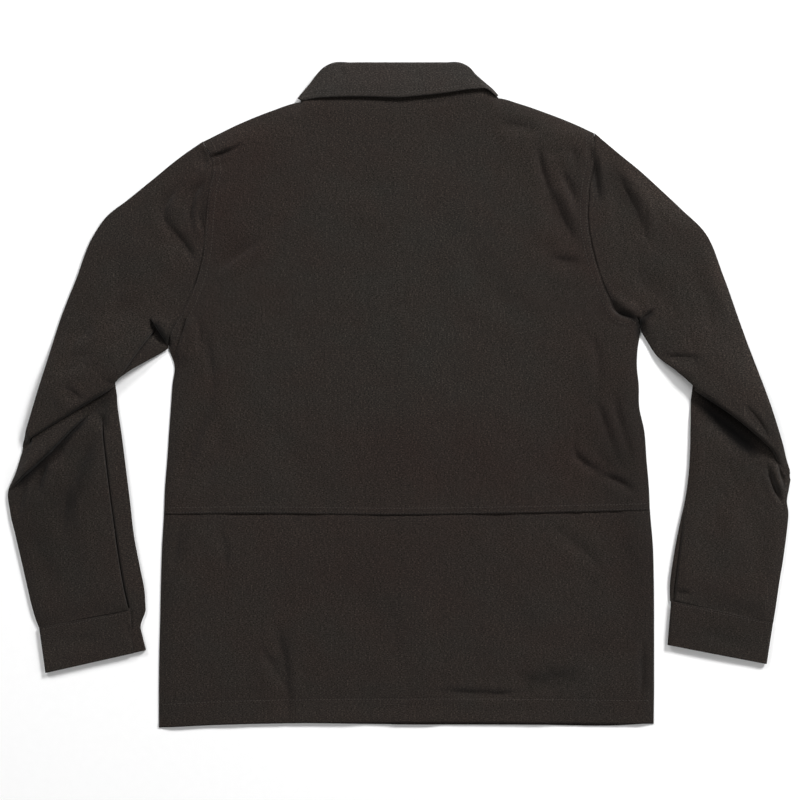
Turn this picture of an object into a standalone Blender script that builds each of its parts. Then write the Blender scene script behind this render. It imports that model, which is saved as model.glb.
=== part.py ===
"""A canvas chore jacket laid flat on its front, back up, collar turned down, both sleeves bent.

The frame: +X towards the jacket's right sleeve, +Y towards its collar, +Z up. The jacket rests on
z = 0, and the origin is under the middle of its outline. Every size is in millimetres until the
vertices are written, and each cloth piece is a wall with 0.3 mm to its neighbours at the seams.
"""

import math

import bmesh
import bpy
import numpy as np

MM = 0.001

# Cloth and seams
SEAM_GAP = 0.3
LAYER_GAP = 0.5
SLEEVE_WALL = 1.2
FRONT_WALL = 1.2
BACK_WALL = 1.3
COLLAR_WALL = 1.4
CUFF_WALL = 1.6

# The back: its height above the table, and how it rolls down at its edges and steps at the waist
BACK_HEIGHT = 6.5
BACK_OVER_PLACKET = 0.6
PLACKET_RISE_REACH = 45.0
PLACKET_RISE_SLOPE = 25.0
BACK_COLUMNS = 21
UPPER_SIDE_ROWS = 9
ROLLED_EDGE_HEIGHT = 0.9
ROLL_WIDTH = 17.0
ROLL_PLACES = (0.0, 1.0, 4.0, 9.0, ROLL_WIDTH)
NECK_EDGE_HEIGHT = 4.8
NECK_HALF_WIDTH = 112.0
NECK_MIDDLE_X = -1.5
NECK_EDGE_HALF_WIDTH = 119.5
NECK_EDGE_FADE = 18.0
WAIST_LAP = 10.0
WAIST_LAP_INSET = 2.2
WAIST_LAP_FADE = 20.0
WAIST_STEP = 1.7
WAIST_STEP_REACH = 40.0
HEM_SINK = 2.3
HEM_SINK_REACH = 45.0

# The back stands off from the sleeve by this much towards the armpit, and rolls down there. The
# starts are shares of the armhole.
ARMPIT_EASE = 2.4
EASE_START = 0.7
ROLL_START = 0.93

# The closed front: the left front laps over the right one, and five buttons fasten it
FRONT_INSET = 5.2
PLACKET_TOP_X = -1.5
PLACKET_HEM_X = 8.0
PLACKET_LAP = 17.0
LAP_STEP = FRONT_WALL + 0.6
LAP_STEP_REACH = 46.0
LAP_STEP_SLOPE = 24.0
FRONT_COLUMNS = 7
PLACKET_COLUMNS = (0.0, 7.0, 17.0, 27.0, 34.0, 44.0)
RIGHT_PLACKET_COLUMNS = PLACKET_COLUMNS + (63.0,)
NECKLINE_BOTTOM_Y = 257.0
NECKLINE_TOP_Y = 333.0
NECKLINE_CURVE = 1.6
NECKLINE_ROW_DROP = 8.0
LOW_FRONT_ROW_Y = -300.0
BUTTON_RADIUS = 8.5
BUTTON_THICKNESS = 2.0
BUTTON_RIM = 0.5
BUTTON_SIDES = 20
BUTTON_LIFT = BUTTON_THICKNESS + SEAM_GAP
BUTTON_TOP_Y = 228.0
BUTTON_PITCH = 105.0
BUTTON_COUNT = 5
# The cloth's bump over a button: how far it reaches, how wide its slope is, and its rows
BUMP_REACH = 38.0
BUMP_SLOPE = 28.0
BUMP_ROWS = (26.0, 10.0, -10.0, -26.0)

# The front's rise over the collar's turned-down ends, along the line from neck to top button
LEAF_LIFT = COLLAR_WALL + 0.35
LEAF_LINE_TOP = (112.0, 335.0)
LEAF_REACH = 85.0
LEAF_SLOPE = 20.0
SHOULDER_SLOPE = 0.377
SHOULDER_CLEARANCE = 6.0
SHOULDER_FADE = 10.0

# The elbow's tuck, where the upper arm folds over the forearm. Opens, closes and turns are shares
# of the fold line from the outer to the inner end.
TUCK_THICKNESS = 3.4
TUCK_RADIUS = 1.9
TUCK_DEPTH = 20.0
TUCK_LEAST_DEPTH = 0.8
TUCK_OPENS = 0.06
TUCK_CLOSES = 0.42
TUCK_TURNS = 0.2
TUCK_SPREAD = 0.5
TUCK_ARC_STEPS = 4
TUCK_LIFT_REACH = 95.0
TUCK_LIFT_SLOPE = 62.0
TUCK_LIFT_PAST = 1.08

# Shares of a sleeve's width: where its upper and lower layers round off, and where its inner skin
# draws in at the edges
UPPER_ROUNDING = 0.09
LOWER_ROUNDING = 0.04
SKIN_ROUNDING = 0.03

CANVAS = (0.031, 0.025, 0.021)
TABLE_SIDE_CANVAS = (0.028, 0.023, 0.019)
HORN = (0.022, 0.017, 0.014)

# Places along the armhole, from the shoulder to the armpit, shared by sleeve and body so that
# their edges match. The layer on the table takes a few of them.
ARMHOLE_STEPS = (0.0, 0.008, 0.035, 0.09, 0.18, 0.29, 0.41, 0.53, 0.65, 0.77, 0.87, 0.95, 0.985, 1.0)
UNDER_STEPS = (0.0, 0.035, 0.18, 0.29, 0.41, 0.53, 0.7, 0.87, 0.965, 1.0)

# left x, left y, right x, right y: the armhole seams from shoulder to armpit
ARMHOLES = (
    (-226.0, 291.8, 223.7, 301.7),
    (-218.5, 276.9, 224.0, 282.6),
    (-214.1, 260.8, 222.9, 261.9),
    (-218.2, 241.2, 218.5, 240.1),
    (-221.6, 215.9, 216.8, 215.9),
    (-223.3, 190.6, 217.9, 189.5),
    (-226.0, 163.0, 223.1, 164.2),
    (-232.3, 136.6, 231.1, 136.6),
    (-242.1, 110.1, 241.5, 111.3),
    (-252.4, 91.1, 251.7, 94.4),
    (-262.2, 74.5, 268.0, 88.3),
    (-264.8, 63.5, 275.0, 82.8),
    (-265.1, 54.3, 277.3, 73.3),
)

# y, left x, right x: the side seams from armpit to hem
SIDES = (
    (74.0, -266.0, 277.2),
    (54.3, -265.1, 273.8),
    (34.2, -258.6, 272.9),
    (12.4, -261.0, 275.0),
    (-12.9, -262.8, 275.6),
    (-39.4, -264.7, 281.2),
    (-73.9, -267.0, 284.0),
    (-108.4, -269.7, 286.9),
    (-137.0, -270.8, 288.0),
    (-177.4, -273.1, 291.3),
    (-218.8, -274.3, 292.4),
    (-260.2, -275.2, 292.7),
    (-301.6, -276.2, 292.7),
    (-343.0, -276.6, 292.7),
    (-381.4, -276.6, 292.2),
)

# x, y: left shoulder, back neck and right shoulder
TOP_EDGE = (
    (-226.0, 291.8),
    (-182.3, 313.2),
    (-146.6, 327.5),
    (-117.9, 336.7),
    (-79.9, 334.9),
    (-0.6, 334.4),
    (53.5, 335.3),
    (92.6, 338.4),
    (115.0, 341.8),
    (136.3, 336.1),
    (167.3, 325.5),
    (203.0, 311.4),
    (223.7, 301.7),
)

# x, y of the waist seam
WAIST = ((-270.8, -136.6), (-194.9, -135.3), (0.6, -136.8), (161.6, -134.6), (288.0, -131.6))

# y of the lower back's rows, from the waist seam and from the hem
LOWER_ROWS_BELOW_WAIST = (WAIST_LAP, 1.0, -14.0, -WAIST_STEP_REACH, -70.0, -100.0, -130.0, -160.0, -190.0)
LOWER_ROWS_ABOVE_HEM = (29.4, 12.4, 0.0)

# x, y of the back's hem, y of the fronts' hem
HEMS = (
    (-276.6, -381.4, -379.6),
    (-203.0, -377.9, -376.6),
    (-132.8, -376.3, -376.3),
    (0.6, -375.1, -377.6),
    (160.4, -375.5, -378.2),
    (251.3, -376.6, -378.8),
    (292.1, -377.0, -376.4),
)

# Sleeve sections. outer x, y and inner x, y: the ends of the section's line; height: the tube's
# thickness; scye: how much of the armhole's curve it keeps; sag: how far its middle bends
# towards the hand. The last section of an upper arm is the line where it folds over the forearm.
LEFT_UPPER_ARM = (
    (-226.0, 291.8, -265.1, 54.3, 6.5, 1.0, 0.0),
    (-252.4, 273.4, -269.5, 51.5, 6.4, 0.75, 0.0),
    (-283.5, 248.1, -275.0, 48.0, 6.3, 0.45, 0.0),
    (-312.0, 225.0, -282.0, 44.0, 6.2, 0.2, 0.0),
    (-337.1, 205.0, -289.0, 40.2, 6.2, 0.05, 0.0),
    (-352.0, 183.0, -295.0, 36.7, 6.1, 0.0, 0.0),
    (-371.4, 133.7, -305.5, 30.8, 5.8, 0.0, 0.0),
    (-389.3, 88.3, -314.0, 25.0, 5.2, 0.0, 0.0),
    (-406.5, 31.9, -320.3, 20.4, 4.4, 0.0, 0.0),
    (-418.5, -8.0, -323.6, 16.9, 3.8, 0.0, 0.0),
    (-432.4, -54.3, -325.5, 10.0, TUCK_THICKNESS, 0.0, 0.0),
)
LEFT_FOREARM = (
    (-434.5, -68.0, -324.6, 0.0, TUCK_THICKNESS, 0.0, 0.0),
    (-441.0, -89.0, -323.8, -11.5, 3.7, 0.0, 0.0),
    (-449.6, -111.3, -321.5, -28.0, 4.3, 0.0, 0.0),
    (-447.3, -132.5, -318.5, -48.0, 4.8, 0.0, 0.0),
    (-441.5, -158.0, -314.0, -84.0, 5.2, 0.0, 0.0),
    (-434.5, -188.0, -309.0, -124.0, 5.4, 0.0, 0.0),
    (-428.5, -214.0, -305.0, -159.0, 5.4, 0.0, 0.0),
    (-422.5, -240.0, -297.5, -199.0, 5.4, 0.0, 0.0),
    (-418.0, -256.0, -293.0, -222.0, 5.4, 0.0, 0.0),
    (-414.5, -265.6, -291.6, -242.8, 5.4, 0.0, 0.0),
)
RIGHT_UPPER_ARM = (
    (223.7, 301.7, 277.3, 73.3, 6.5, 1.0, 0.0),
    (250.0, 279.5, 283.0, 64.5, 6.4, 0.38, 0.0),
    (276.6, 257.8, 286.0, 59.8, 6.3, 0.18, 0.0),
    (300.0, 236.5, 288.7, 55.3, 6.2, 0.08, 0.0),
    (325.0, 213.0, 291.5, 50.8, 6.2, 0.03, 0.0),
    (350.2, 188.3, 295.5, 45.5, 6.1, 0.0, 0.0),
    (371.5, 139.0, 303.5, 38.5, 5.8, 0.0, 0.0),
    (389.5, 88.5, 314.5, 30.5, 5.2, 0.0, -2.0),
    (405.6, 43.3, 323.5, 22.8, 4.4, 0.0, -4.0),
    (427.0, -18.5, 330.5, 16.4, 3.8, 0.0, -6.0),
    (448.6, -85.4, 336.4, 5.5, TUCK_THICKNESS, 0.0, -6.0),
)
RIGHT_FOREARM = (
    (449.4, -96.5, 334.8, -5.0, TUCK_THICKNESS, 0.0, -4.0),
    (447.4, -107.0, 334.5, -20.0, 3.7, 0.0, -2.0),
    (445.0, -120.5, 334.2, -37.0, 4.3, 0.0, 0.0),
    (446.6, -134.0, 333.8, -57.0, 4.8, 0.0, 0.0),
    (444.5, -158.0, 332.3, -86.0, 5.2, 0.0, 0.0),
    (440.5, -188.0, 328.3, -117.0, 5.4, 0.0, 0.0),
    (436.5, -212.0, 321.0, -151.0, 5.4, 0.0, 0.0),
    (433.0, -236.0, 314.0, -189.0, 5.4, 0.0, 0.0),
    (431.0, -250.0, 310.5, -216.0, 5.4, 0.0, 0.0),
    (429.5, -260.0, 310.5, -234.4, 5.4, 0.0, 0.0),
)

# The corners of each cuff: outer and inner end of the sleeve seam, then outer and inner hem
LEFT_CUFF = ((-414.2, -266.3), (-291.7, -243.5), (-406.9, -318.3), (-290.5, -292.0))
RIGHT_CUFF = ((429.3, -260.6), (310.6, -235.1), (422.0, -308.0), (306.5, -285.7))
CUFF_HEIGHT = 5.8
CUFF_OVERLAP_END = 0.87
CUFF_UNDER_END = 0.7

# fold x, y; leaf edge x, y; neck seam x, y; leaf height and stand height above the table
COLLAR = (
    (-116.5, 341.0, -113.0, 338.8, -112.5, 338.4, 4.6, 2.6),
    (-109.8, 349.3, -103.0, 340.3, -103.0, 338.2, 7.0, 3.4),
    (-101.8, 358.5, -93.0, 341.6, -93.0, 337.4, 8.4, 4.8),
    (-94.9, 367.7, -83.0, 342.0, -83.0, 333.9, 9.6, 6.5),
    (-86.8, 376.0, -71.0, 342.4, -71.0, 333.6, 10.2, 6.5),
    (-77.6, 380.8, -58.0, 342.6, -58.0, 333.5, 10.5, 6.5),
    (-55.0, 381.6, -40.0, 342.6, -40.0, 333.4, 10.6, 6.5),
    (-28.0, 381.7, -20.0, 342.0, -20.0, 333.3, 10.6, 6.5),
    (0.6, 381.7, 0.0, 341.6, 0.0, 333.2, 10.6, 6.5),
    (27.0, 381.7, 24.0, 343.7, 24.0, 333.6, 10.6, 6.5),
    (52.0, 381.7, 46.0, 346.0, 46.0, 334.0, 10.5, 6.5),
    (70.0, 381.3, 62.0, 348.3, 62.0, 334.8, 10.2, 6.5),
    (79.0, 376.9, 76.0, 350.0, 76.0, 335.9, 9.9, 6.5),
    (87.5, 367.7, 87.0, 351.6, 86.0, 336.7, 9.5, 6.5),
    (98.3, 358.5, 98.0, 349.0, 97.0, 341.4, 8.2, 4.8),
    (107.0, 351.6, 105.0, 345.5, 104.5, 342.8, 6.6, 3.4),
    (112.8, 345.4, 110.5, 343.2, 110.0, 342.8, 4.6, 2.6),
)
COLLAR_ROLL = 2.9
STAND_FOLD_HEIGHT = 3.0

# The turned-down front ends of the collar, under the fronts: fold top, fold end, point, outer end
LEFT_COLLAR_END = ((-80.0, 362.0), (-9.0, 266.0), (-32.0, 216.0), (-91.0, 303.0))
RIGHT_COLLAR_END = ((78.0, 360.0), (8.0, 266.0), (31.0, 216.0), (89.0, 304.0))

# The largest folds of the back and the sleeves. x0, y0, x1, y1: the fold's two ends; rise: its
# height, below zero for a trough; width: half its breadth
BACK_FOLDS = (
    (-176.5, 296.4, -217.2, 275.7, -2.2, 11.0),
    (-160.4, 166.5, -213.3, 134.3, -1.3, 14.0),
    (74.2, 317.1, 158.1, 302.2, -1.2, 12.0),
    (158.1, 298.7, 176.5, 240.1, -2.6, 11.0),
    (176.5, 240.1, 207.6, 174.5, -2.2, 12.0),
    (169.6, 161.3, 215.1, 146.9, -1.0, 12.0),
    (195.0, -52.0, 235.2, -88.9, -2.0, 14.0),
    (-246.7, -39.4, -263.9, -108.4, -1.4, 14.0),
    (243.2, -19.8, 249.0, -73.9, -1.2, 12.0),
    (-132.8, -254.4, -128.7, -371.7, -2.4, 13.0),
    (-153.5, -278.6, -132.8, -326.9, -1.5, 13.0),
    (131.7, -323.4, 205.3, -321.7, -1.6, 14.0),
    (281.9, -265.9, 284.6, -341.8, -1.2, 10.0),
    (-237.5, -137.1, -254.7, -188.9, -1.2, 14.0),
)
LEFT_UPPER_ARM_FOLDS = (
    (-250.1, 240.1, -270.8, 199.8, -2.0, 13.0),
    (-224.8, 233.2, -237.5, 174.5, -2.0, 13.0),
    (-282.4, 85.9, -265.1, 60.0, -1.6, 12.0),
)
LEFT_FOREARM_FOLDS = (
    (-345.0, -22.0, -398.0, -62.0, 2.2, 12.0),
    (-398.0, -62.0, -436.0, -88.0, 2.8, 12.0),
)
RIGHT_UPPER_ARM_FOLDS = (
    (246.7, 258.5, 288.1, 178.0, -2.0, 15.0),
    (307.0, 52.3, 340.0, 49.0, -1.6, 13.0),
)
RIGHT_FOREARM_FOLDS = ((418.0, -92.0, 441.0, -100.0, 1.6, 10.0),)


def smooth(value):
    """0 below 0, 1 above 1, and an even slope between."""
    t = np.clip(value, 0.0, 1.0)
    return t * t * (3.0 - 2.0 * t)


def rounded(value):
    """A quarter of an ellipse: 0 at 0, 1 from 1 on."""
    t = np.clip(value, 0.0, 1.0)
    return np.sqrt(1.0 - (1.0 - t) ** 2)


def along(points, steps):
    """Points at the given fractions of a polyline's length."""
    points = np.asarray(points, float)
    lengths = np.hypot(*np.diff(points, axis=0).T)
    reached = np.concatenate([[0.0], np.cumsum(lengths)]) / lengths.sum()
    return np.column_stack([np.interp(steps, reached, points[:, k]) for k in range(points.shape[1])])


def column(table, number):
    return np.array([row[number] for row in table], float)


def armhole(side, steps, distance=0.0):
    """Places on an armhole seam, from shoulder to armpit, moved square to it towards the body."""
    table = np.asarray(ARMHOLES, float)
    points = table[:, :2] if side == "left" else table[:, 2:]
    steps = np.asarray(steps, float)
    run = along(points, np.minimum(steps + 0.02, 1.0)) - along(points, np.maximum(steps - 0.02, 0.0))
    run /= np.hypot(*run.T)[:, None]
    turn = 1.0 if side == "left" else -1.0
    square = turn * np.column_stack([-run[:, 1], run[:, 0]])
    return along(points, steps) + np.reshape(distance, (-1, 1)) * square


def side_x(side, y):
    """The side seam's x at a height y."""
    return np.interp(-np.asarray(y), -column(SIDES, 0), column(SIDES, 1 if side == "left" else 2))


def placket_x(y):
    """The middle line of the closed front."""
    return np.interp(y, (HEMS[0][1], NECKLINE_BOTTOM_Y), (PLACKET_HEM_X, PLACKET_TOP_X))


def fold_rise(folds, x, y):
    """The height that a table of folds adds at each place, highest along the folds' middles."""
    total = np.zeros(np.shape(x))
    for x0, y0, x1, y1, rise, width in folds:
        run = np.array([x1 - x0, y1 - y0])
        length = math.hypot(*run)
        reached = ((x - x0) * run[0] + (y - y0) * run[1]) / length
        across = ((x - x0) * run[1] - (y - y0) * run[0]) / length
        past = np.maximum(0.0, np.maximum(-reached, reached - length))
        total += rise * np.exp(-((across / width) ** 2) - (past / (1.5 * width)) ** 2)
    return total


def button_places():
    """The middles of the front buttons, from the neck down."""
    for number in range(BUTTON_COUNT):
        y = BUTTON_TOP_Y - number * BUTTON_PITCH
        yield number + 1, float(placket_x(y)), y


def front_base(x, y):
    """The height of the outermost front's underside: over the buttons and the collar's ends."""
    lift = np.zeros(np.shape(x))
    for _, button_x, button_y in button_places():
        near_x = smooth((BUMP_REACH - np.abs(x - button_x)) / BUMP_SLOPE)
        near_y = smooth((BUMP_REACH - np.abs(y - button_y)) / BUMP_SLOPE)
        lift = np.maximum(lift, BUTTON_LIFT * near_x * near_y)
    start = np.array(LEAF_LINE_TOP)
    run = np.array([0.0, NECKLINE_BOTTOM_Y]) - start
    share = np.clip(((np.abs(x) - start[0]) * run[0] + (y - start[1]) * run[1]) / (run @ run), 0, 1)
    away = np.hypot(np.abs(x) - start[0] - share * run[0], y - start[1] - share * run[1])
    shoulder = start[1] - SHOULDER_SLOPE * np.maximum(np.abs(x) - start[0], 0.0)
    below_shoulder = smooth((shoulder - y - SHOULDER_CLEARANCE) / SHOULDER_FADE)
    return np.maximum(lift, LEAF_LIFT * smooth((LEAF_REACH - away) / LEAF_SLOPE) * below_shoulder)


def lap_step(x, y):
    """How much the right front rises to lie on the left one at the closed front."""
    return LAP_STEP * smooth((LAP_STEP_REACH - np.abs(x - placket_x(y))) / LAP_STEP_SLOPE)


def material(name, colour, roughness):
    made = bpy.data.materials.new(name)
    made.use_nodes = True
    shader = made.node_tree.nodes["Principled BSDF"]
    shader.inputs["Base Color"].default_value = (*colour, 1.0)
    shader.inputs["Roughness"].default_value = roughness
    shader.inputs["Metallic"].default_value = 0.0
    return made


def add_object(collection, name, mesh, finish):
    made = bpy.data.objects.new(name, mesh)
    collection.objects.link(made)
    mesh.materials.append(finish)
    mesh.shade_smooth()
    mesh.set_sharp_from_angle(angle=math.radians(50))
    return made


def add_sheet(collection, name, points, wall, finish, offset=-1.0):
    """A panel: a grid moved to an array of places (rows, columns, 3) and given its wall."""
    rows, columns = points.shape[:2]
    shape = bmesh.new()
    bmesh.ops.create_grid(shape, x_segments=columns - 1, y_segments=rows - 1, size=1.0)
    for vertex in shape.verts:
        across = round((vertex.co.x + 1.0) / 2.0 * (columns - 1))
        down = round((1.0 - vertex.co.y) / 2.0 * (rows - 1))
        vertex.co = points[down, across] * MM
    mesh = bpy.data.meshes.new(name)
    shape.to_mesh(mesh)
    shape.free()
    made = add_object(collection, name, mesh, finish)
    skin = made.modifiers.new("Wall", "SOLIDIFY")
    skin.thickness = wall * MM
    skin.offset = offset
    return made


def add_tube(collection, name, outside, inside, upper_count, finish):
    """A sleeve: a loft through rings of places (sections, points, 3), its inner skin and its ends.

    The quads' diagonals are the same above and below, so that the skins stay parallel.
    """
    sections, count = outside.shape[:2]
    shape = bmesh.new()
    skins = []
    for rings in (outside, inside):
        skins.append([[shape.verts.new(place * MM) for place in ring] for ring in rings])
    outer, inner = skins
    for skin, turn in ((outer, 1), (inner, -1)):
        for ring, following in zip(skin[:-1], skin[1:]):
            for k in range(count):
                after = (k + 1) % count
                quad = [ring[k], ring[after], following[after], following[k]]
                first = 1 if k < upper_count else 0
                quad = quad[first:] + quad[:first]
                shape.faces.new((quad[0], quad[1], quad[2])[::turn])
                shape.faces.new((quad[0], quad[2], quad[3])[::turn])
    for section, turn in ((0, 1), (sections - 1, -1)):
        for k in range(count):
            after = (k + 1) % count
            corners = (outer[section][k], inner[section][k], inner[section][after], outer[section][after])
            shape.faces.new(corners[::turn])
    bmesh.ops.recalc_face_normals(shape, faces=shape.faces)
    mesh = bpy.data.meshes.new(name)
    shape.to_mesh(mesh)
    shape.free()
    return add_object(collection, name, mesh, finish)


# The back


def back_grid(left, right, top, bottom, across):
    """Places on a panel between its left and right ends, bent to its top and bottom edges."""
    rows = len(left)
    reach_left = (left[:, 1] - left[-1, 1]) / (left[0, 1] - left[-1, 1])
    reach_right = (right[:, 1] - right[-1, 1]) / (right[0, 1] - right[-1, 1])
    points = np.zeros((rows, len(across), 3))
    for k, u in enumerate(across):
        line = left + u * (right - left)
        reach = reach_left + u * (reach_right - reach_left)
        bend_top = top[k] - line[0]
        bend_bottom = bottom[k] - line[-1]
        points[:, k, :2] = line + np.outer(reach, bend_top) + np.outer(1.0 - reach, bend_bottom)
    return points


def edge_columns(width):
    """Fractions across a panel: close together where its edges roll, even between."""
    near = np.array(ROLL_PLACES) / width
    even = np.linspace(near[-1], 1.0 - near[-1], BACK_COLUMNS + 1)[1:-1]
    return np.concatenate([near, even, 1.0 - near[::-1]])


def back_height(x, y):
    """The back's height away from its edges, its folds no deeper than the fronts beneath allow."""
    middle = smooth((PLACKET_RISE_REACH - np.abs(x - placket_x(y))) / PLACKET_RISE_SLOPE)
    height = BACK_HEIGHT + BACK_OVER_PLACKET * middle + fold_rise(BACK_FOLDS, x, y)
    fronts = front_base(x, y) + FRONT_WALL + lap_step(x, y)
    return np.maximum(height, fronts + BACK_WALL + LAYER_GAP)


def make_back_upper(collection, finish):
    ends = []
    near_armpit = smooth((np.array(ARMHOLE_STEPS) - ROLL_START) / (1.0 - ROLL_START))
    eased = smooth((np.array(ARMHOLE_STEPS) - EASE_START) / (1.0 - EASE_START))
    for side in ("left", "right"):
        scye = armhole(side, ARMHOLE_STEPS, SEAM_GAP / 2 + ARMPIT_EASE * eased)
        waist = WAIST[0] if side == "left" else WAIST[-1]
        y = np.linspace(scye[-1, 1], waist[1], UPPER_SIDE_ROWS + 1)[1:]
        seam = np.column_stack([side_x(side, y), y])
        seam[-1] = waist
        ends.append(np.vstack([scye, seam]))
    left, right = ends
    across = edge_columns(right[0, 0] - left[0, 0])
    top_x = left[0, 0] + across * (right[0, 0] - left[0, 0])
    top = np.column_stack([top_x, np.interp(top_x, column(TOP_EDGE, 0), column(TOP_EDGE, 1))])
    low_x = left[-1, 0] + across * (right[-1, 0] - left[-1, 0])
    low = np.column_stack([low_x, np.interp(low_x, column(WAIST, 0), column(WAIST, 1))])
    points = back_grid(left, right, top, low, across)
    x, y = points[..., 0], points[..., 1]
    height = back_height(x, y)
    # The side seams roll down below the armpits, and the shoulders along the top
    rolls = np.concatenate([near_armpit, np.ones(UPPER_SIDE_ROWS)])[:, None]
    for distance in (x - left[:, :1], right[:, :1] - x):
        kept = 1.0 - rolls * (1.0 - rounded(distance / ROLL_WIDTH))
        height = ROLLED_EDGE_HEIGHT + (height - ROLLED_EDGE_HEIGHT) * kept
    neck = smooth((NECK_EDGE_HALF_WIDTH - np.abs(x - NECK_MIDDLE_X)) / NECK_EDGE_FADE)
    edge = ROLLED_EDGE_HEIGHT + neck * (NECK_EDGE_HEIGHT - ROLLED_EDGE_HEIGHT)
    edge = np.minimum(edge, height)
    points[..., 2] = edge + (height - edge) * rounded((top[:, 1] - y) / ROLL_WIDTH)
    add_sheet(collection, "back_upper", points, BACK_WALL, finish)


def make_back_lower(collection, finish):
    y = np.array([WAIST[0][1] + place for place in LOWER_ROWS_BELOW_WAIST])
    y = np.concatenate([y, [HEMS[0][1] + place for place in LOWER_ROWS_ABOVE_HEM]])
    left = np.column_stack([side_x("left", y), y])
    right = np.column_stack([side_x("right", y), y])
    right[-1, 1] = HEMS[-1][1]
    across = edge_columns(right[-1, 0] - left[-1, 0])
    top_x = left[0, 0] + across * (right[0, 0] - left[0, 0])
    waist = np.interp(top_x, column(WAIST, 0), column(WAIST, 1))
    top = np.column_stack([top_x, waist + WAIST_LAP])
    low_x = left[-1, 0] + across * (right[-1, 0] - left[-1, 0])
    low = np.column_stack([low_x, np.interp(low_x, column(HEMS, 0), column(HEMS, 1))])
    points = back_grid(left, right, top, low, across)
    x, y = points[..., 0], points[..., 1]
    below_waist = top[:, 1] - WAIST_LAP - y
    step = WAIST_STEP * smooth(1.0 - below_waist / WAIST_STEP_REACH)
    sink = HEM_SINK * smooth(1.0 - (y - low[:, 1]) / HEM_SINK_REACH)
    height = np.maximum(back_height(x, y) - step - sink, FRONT_WALL + BACK_WALL + LAYER_GAP)
    edge = ROLLED_EDGE_HEIGHT
    for distance in (x - left[:, :1], right[:, :1] - x):
        height = edge + (height - edge) * rounded(distance / ROLL_WIDTH)
    points[..., 2] = height
    # Under the lap the edge keeps clear of the upper panel, whose own edge rolls down there too
    from_side = np.minimum(x - left[:, :1], right[:, :1] - x)
    inset = WAIST_LAP_INSET * (below_waist < 0.0) * smooth(1.0 - from_side / WAIST_LAP_FADE)
    points[..., 0] -= np.sign(x) * inset
    add_sheet(collection, "back_lower", points, BACK_WALL, finish)


# The fronts, flat on the table


def front_rows():
    """The rows' heights at the placket: the armhole's rows, then those beside the buttons."""
    top = [NECKLINE_BOTTOM_Y, NECKLINE_BOTTOM_Y - NECKLINE_ROW_DROP]
    beside = [y + place for _, _, y in button_places() for place in BUMP_ROWS]
    return np.array(top + beside[1:] + [LOW_FRONT_ROW_Y, HEMS[3][2]])


def make_front(collection, side, finish):
    sign = -1.0 if side == "left" else 1.0
    rows_y = front_rows()
    scye = armhole(side, UNDER_STEPS, SEAM_GAP / 2)
    hem_end = HEMS[0 if side == "left" else -1]
    below = rows_y[len(UNDER_STEPS):].copy()
    below[-1] = hem_end[2]
    seam = np.column_stack([side_x(side, below) - sign * FRONT_INSET, below])
    outer = np.vstack([scye, seam])
    armpit = len(UNDER_STEPS) - 1
    outer[armpit - 1 : armpit + 1, 0] -= sign * FRONT_INSET
    outer[armpit - 2, 0] -= sign * FRONT_INSET / 3
    outer[0] -= (sign * FRONT_INSET, FRONT_INSET)
    free_edge = placket_x(rows_y) - sign * PLACKET_LAP
    inner = np.column_stack([free_edge, rows_y])
    width = abs(outer[-1, 0] - inner[-1, 0])
    near = np.array(PLACKET_COLUMNS if side == "left" else RIGHT_PLACKET_COLUMNS) / width
    across = np.concatenate([near, np.linspace(near[-1], 1.0, FRONT_COLUMNS)[1:]])
    top_x = inner[0, 0] + across * (outer[0, 0] - inner[0, 0])
    neck_share = np.clip(np.abs(top_x) / NECK_HALF_WIDTH, 0.0, 1.0)
    neckline = NECKLINE_BOTTOM_Y + (NECKLINE_TOP_Y - NECKLINE_BOTTOM_Y) * neck_share**NECKLINE_CURVE
    shoulder = np.interp(top_x, column(TOP_EDGE, 0), column(TOP_EDGE, 1)) - FRONT_INSET
    top = np.column_stack([top_x, np.where(neck_share < 1.0, neckline, shoulder)])
    low_x = inner[-1, 0] + across * (outer[-1, 0] - inner[-1, 0])
    low = np.column_stack([low_x, np.interp(low_x, column(HEMS, 0), column(HEMS, 2))])
    top[-1] = outer[0]
    top[0, 1] = NECKLINE_BOTTOM_Y
    points = back_grid(inner, outer, top, low, across)
    x, y = points[..., 0], points[..., 1]
    base = front_base(x, y)
    if side == "right":
        base = base + LAP_STEP * smooth((LAP_STEP_REACH - (x - placket_x(y))) / LAP_STEP_SLOPE)
    points[..., 2] = base + FRONT_WALL
    if side == "left":
        points = points[:, ::-1]
    add_sheet(collection, f"front_{side}", points, FRONT_WALL, finish)


def make_button(collection, number, x, y, finish):
    shape = bmesh.new()
    bmesh.ops.create_cone(
        shape, cap_ends=True, segments=BUTTON_SIDES, radius1=BUTTON_RADIUS * MM, radius2=BUTTON_RADIUS * MM,
        depth=BUTTON_THICKNESS * MM,
    )
    mesh = bpy.data.meshes.new(f"button_{number}")
    shape.to_mesh(mesh)
    shape.free()
    made = add_object(collection, f"button_{number}", mesh, finish)
    made.location = (x * MM, y * MM, BUTTON_THICKNESS / 2 * MM)
    rim = made.modifiers.new("Rim", "BEVEL")
    rim.width = BUTTON_RIM * MM
    rim.segments = 1
    rim.limit_method = "ANGLE"


# The sleeves


def section_line(side, row, steps):
    """A section's places in plan, from its outer to its inner end."""
    outer = np.array(row[0:2])
    inner = np.array(row[2:4])
    steps = np.asarray(steps)
    line = outer + steps[:, None] * (inner - outer)
    scye = armhole(side, steps, -SEAM_GAP / 2)
    shoulder, armpit = armhole(side, (0.0, 1.0))
    straight = shoulder + steps[:, None] * (armpit - shoulder)
    line = line + row[5] * (scye - straight)
    run = (inner - outer) / math.hypot(*(inner - outer))
    to_hand = np.array([run[1], -run[0]]) * (1.0 if side == "left" else -1.0)
    return line + np.outer(row[6] * 4.0 * steps * (1.0 - steps), to_hand)


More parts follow.
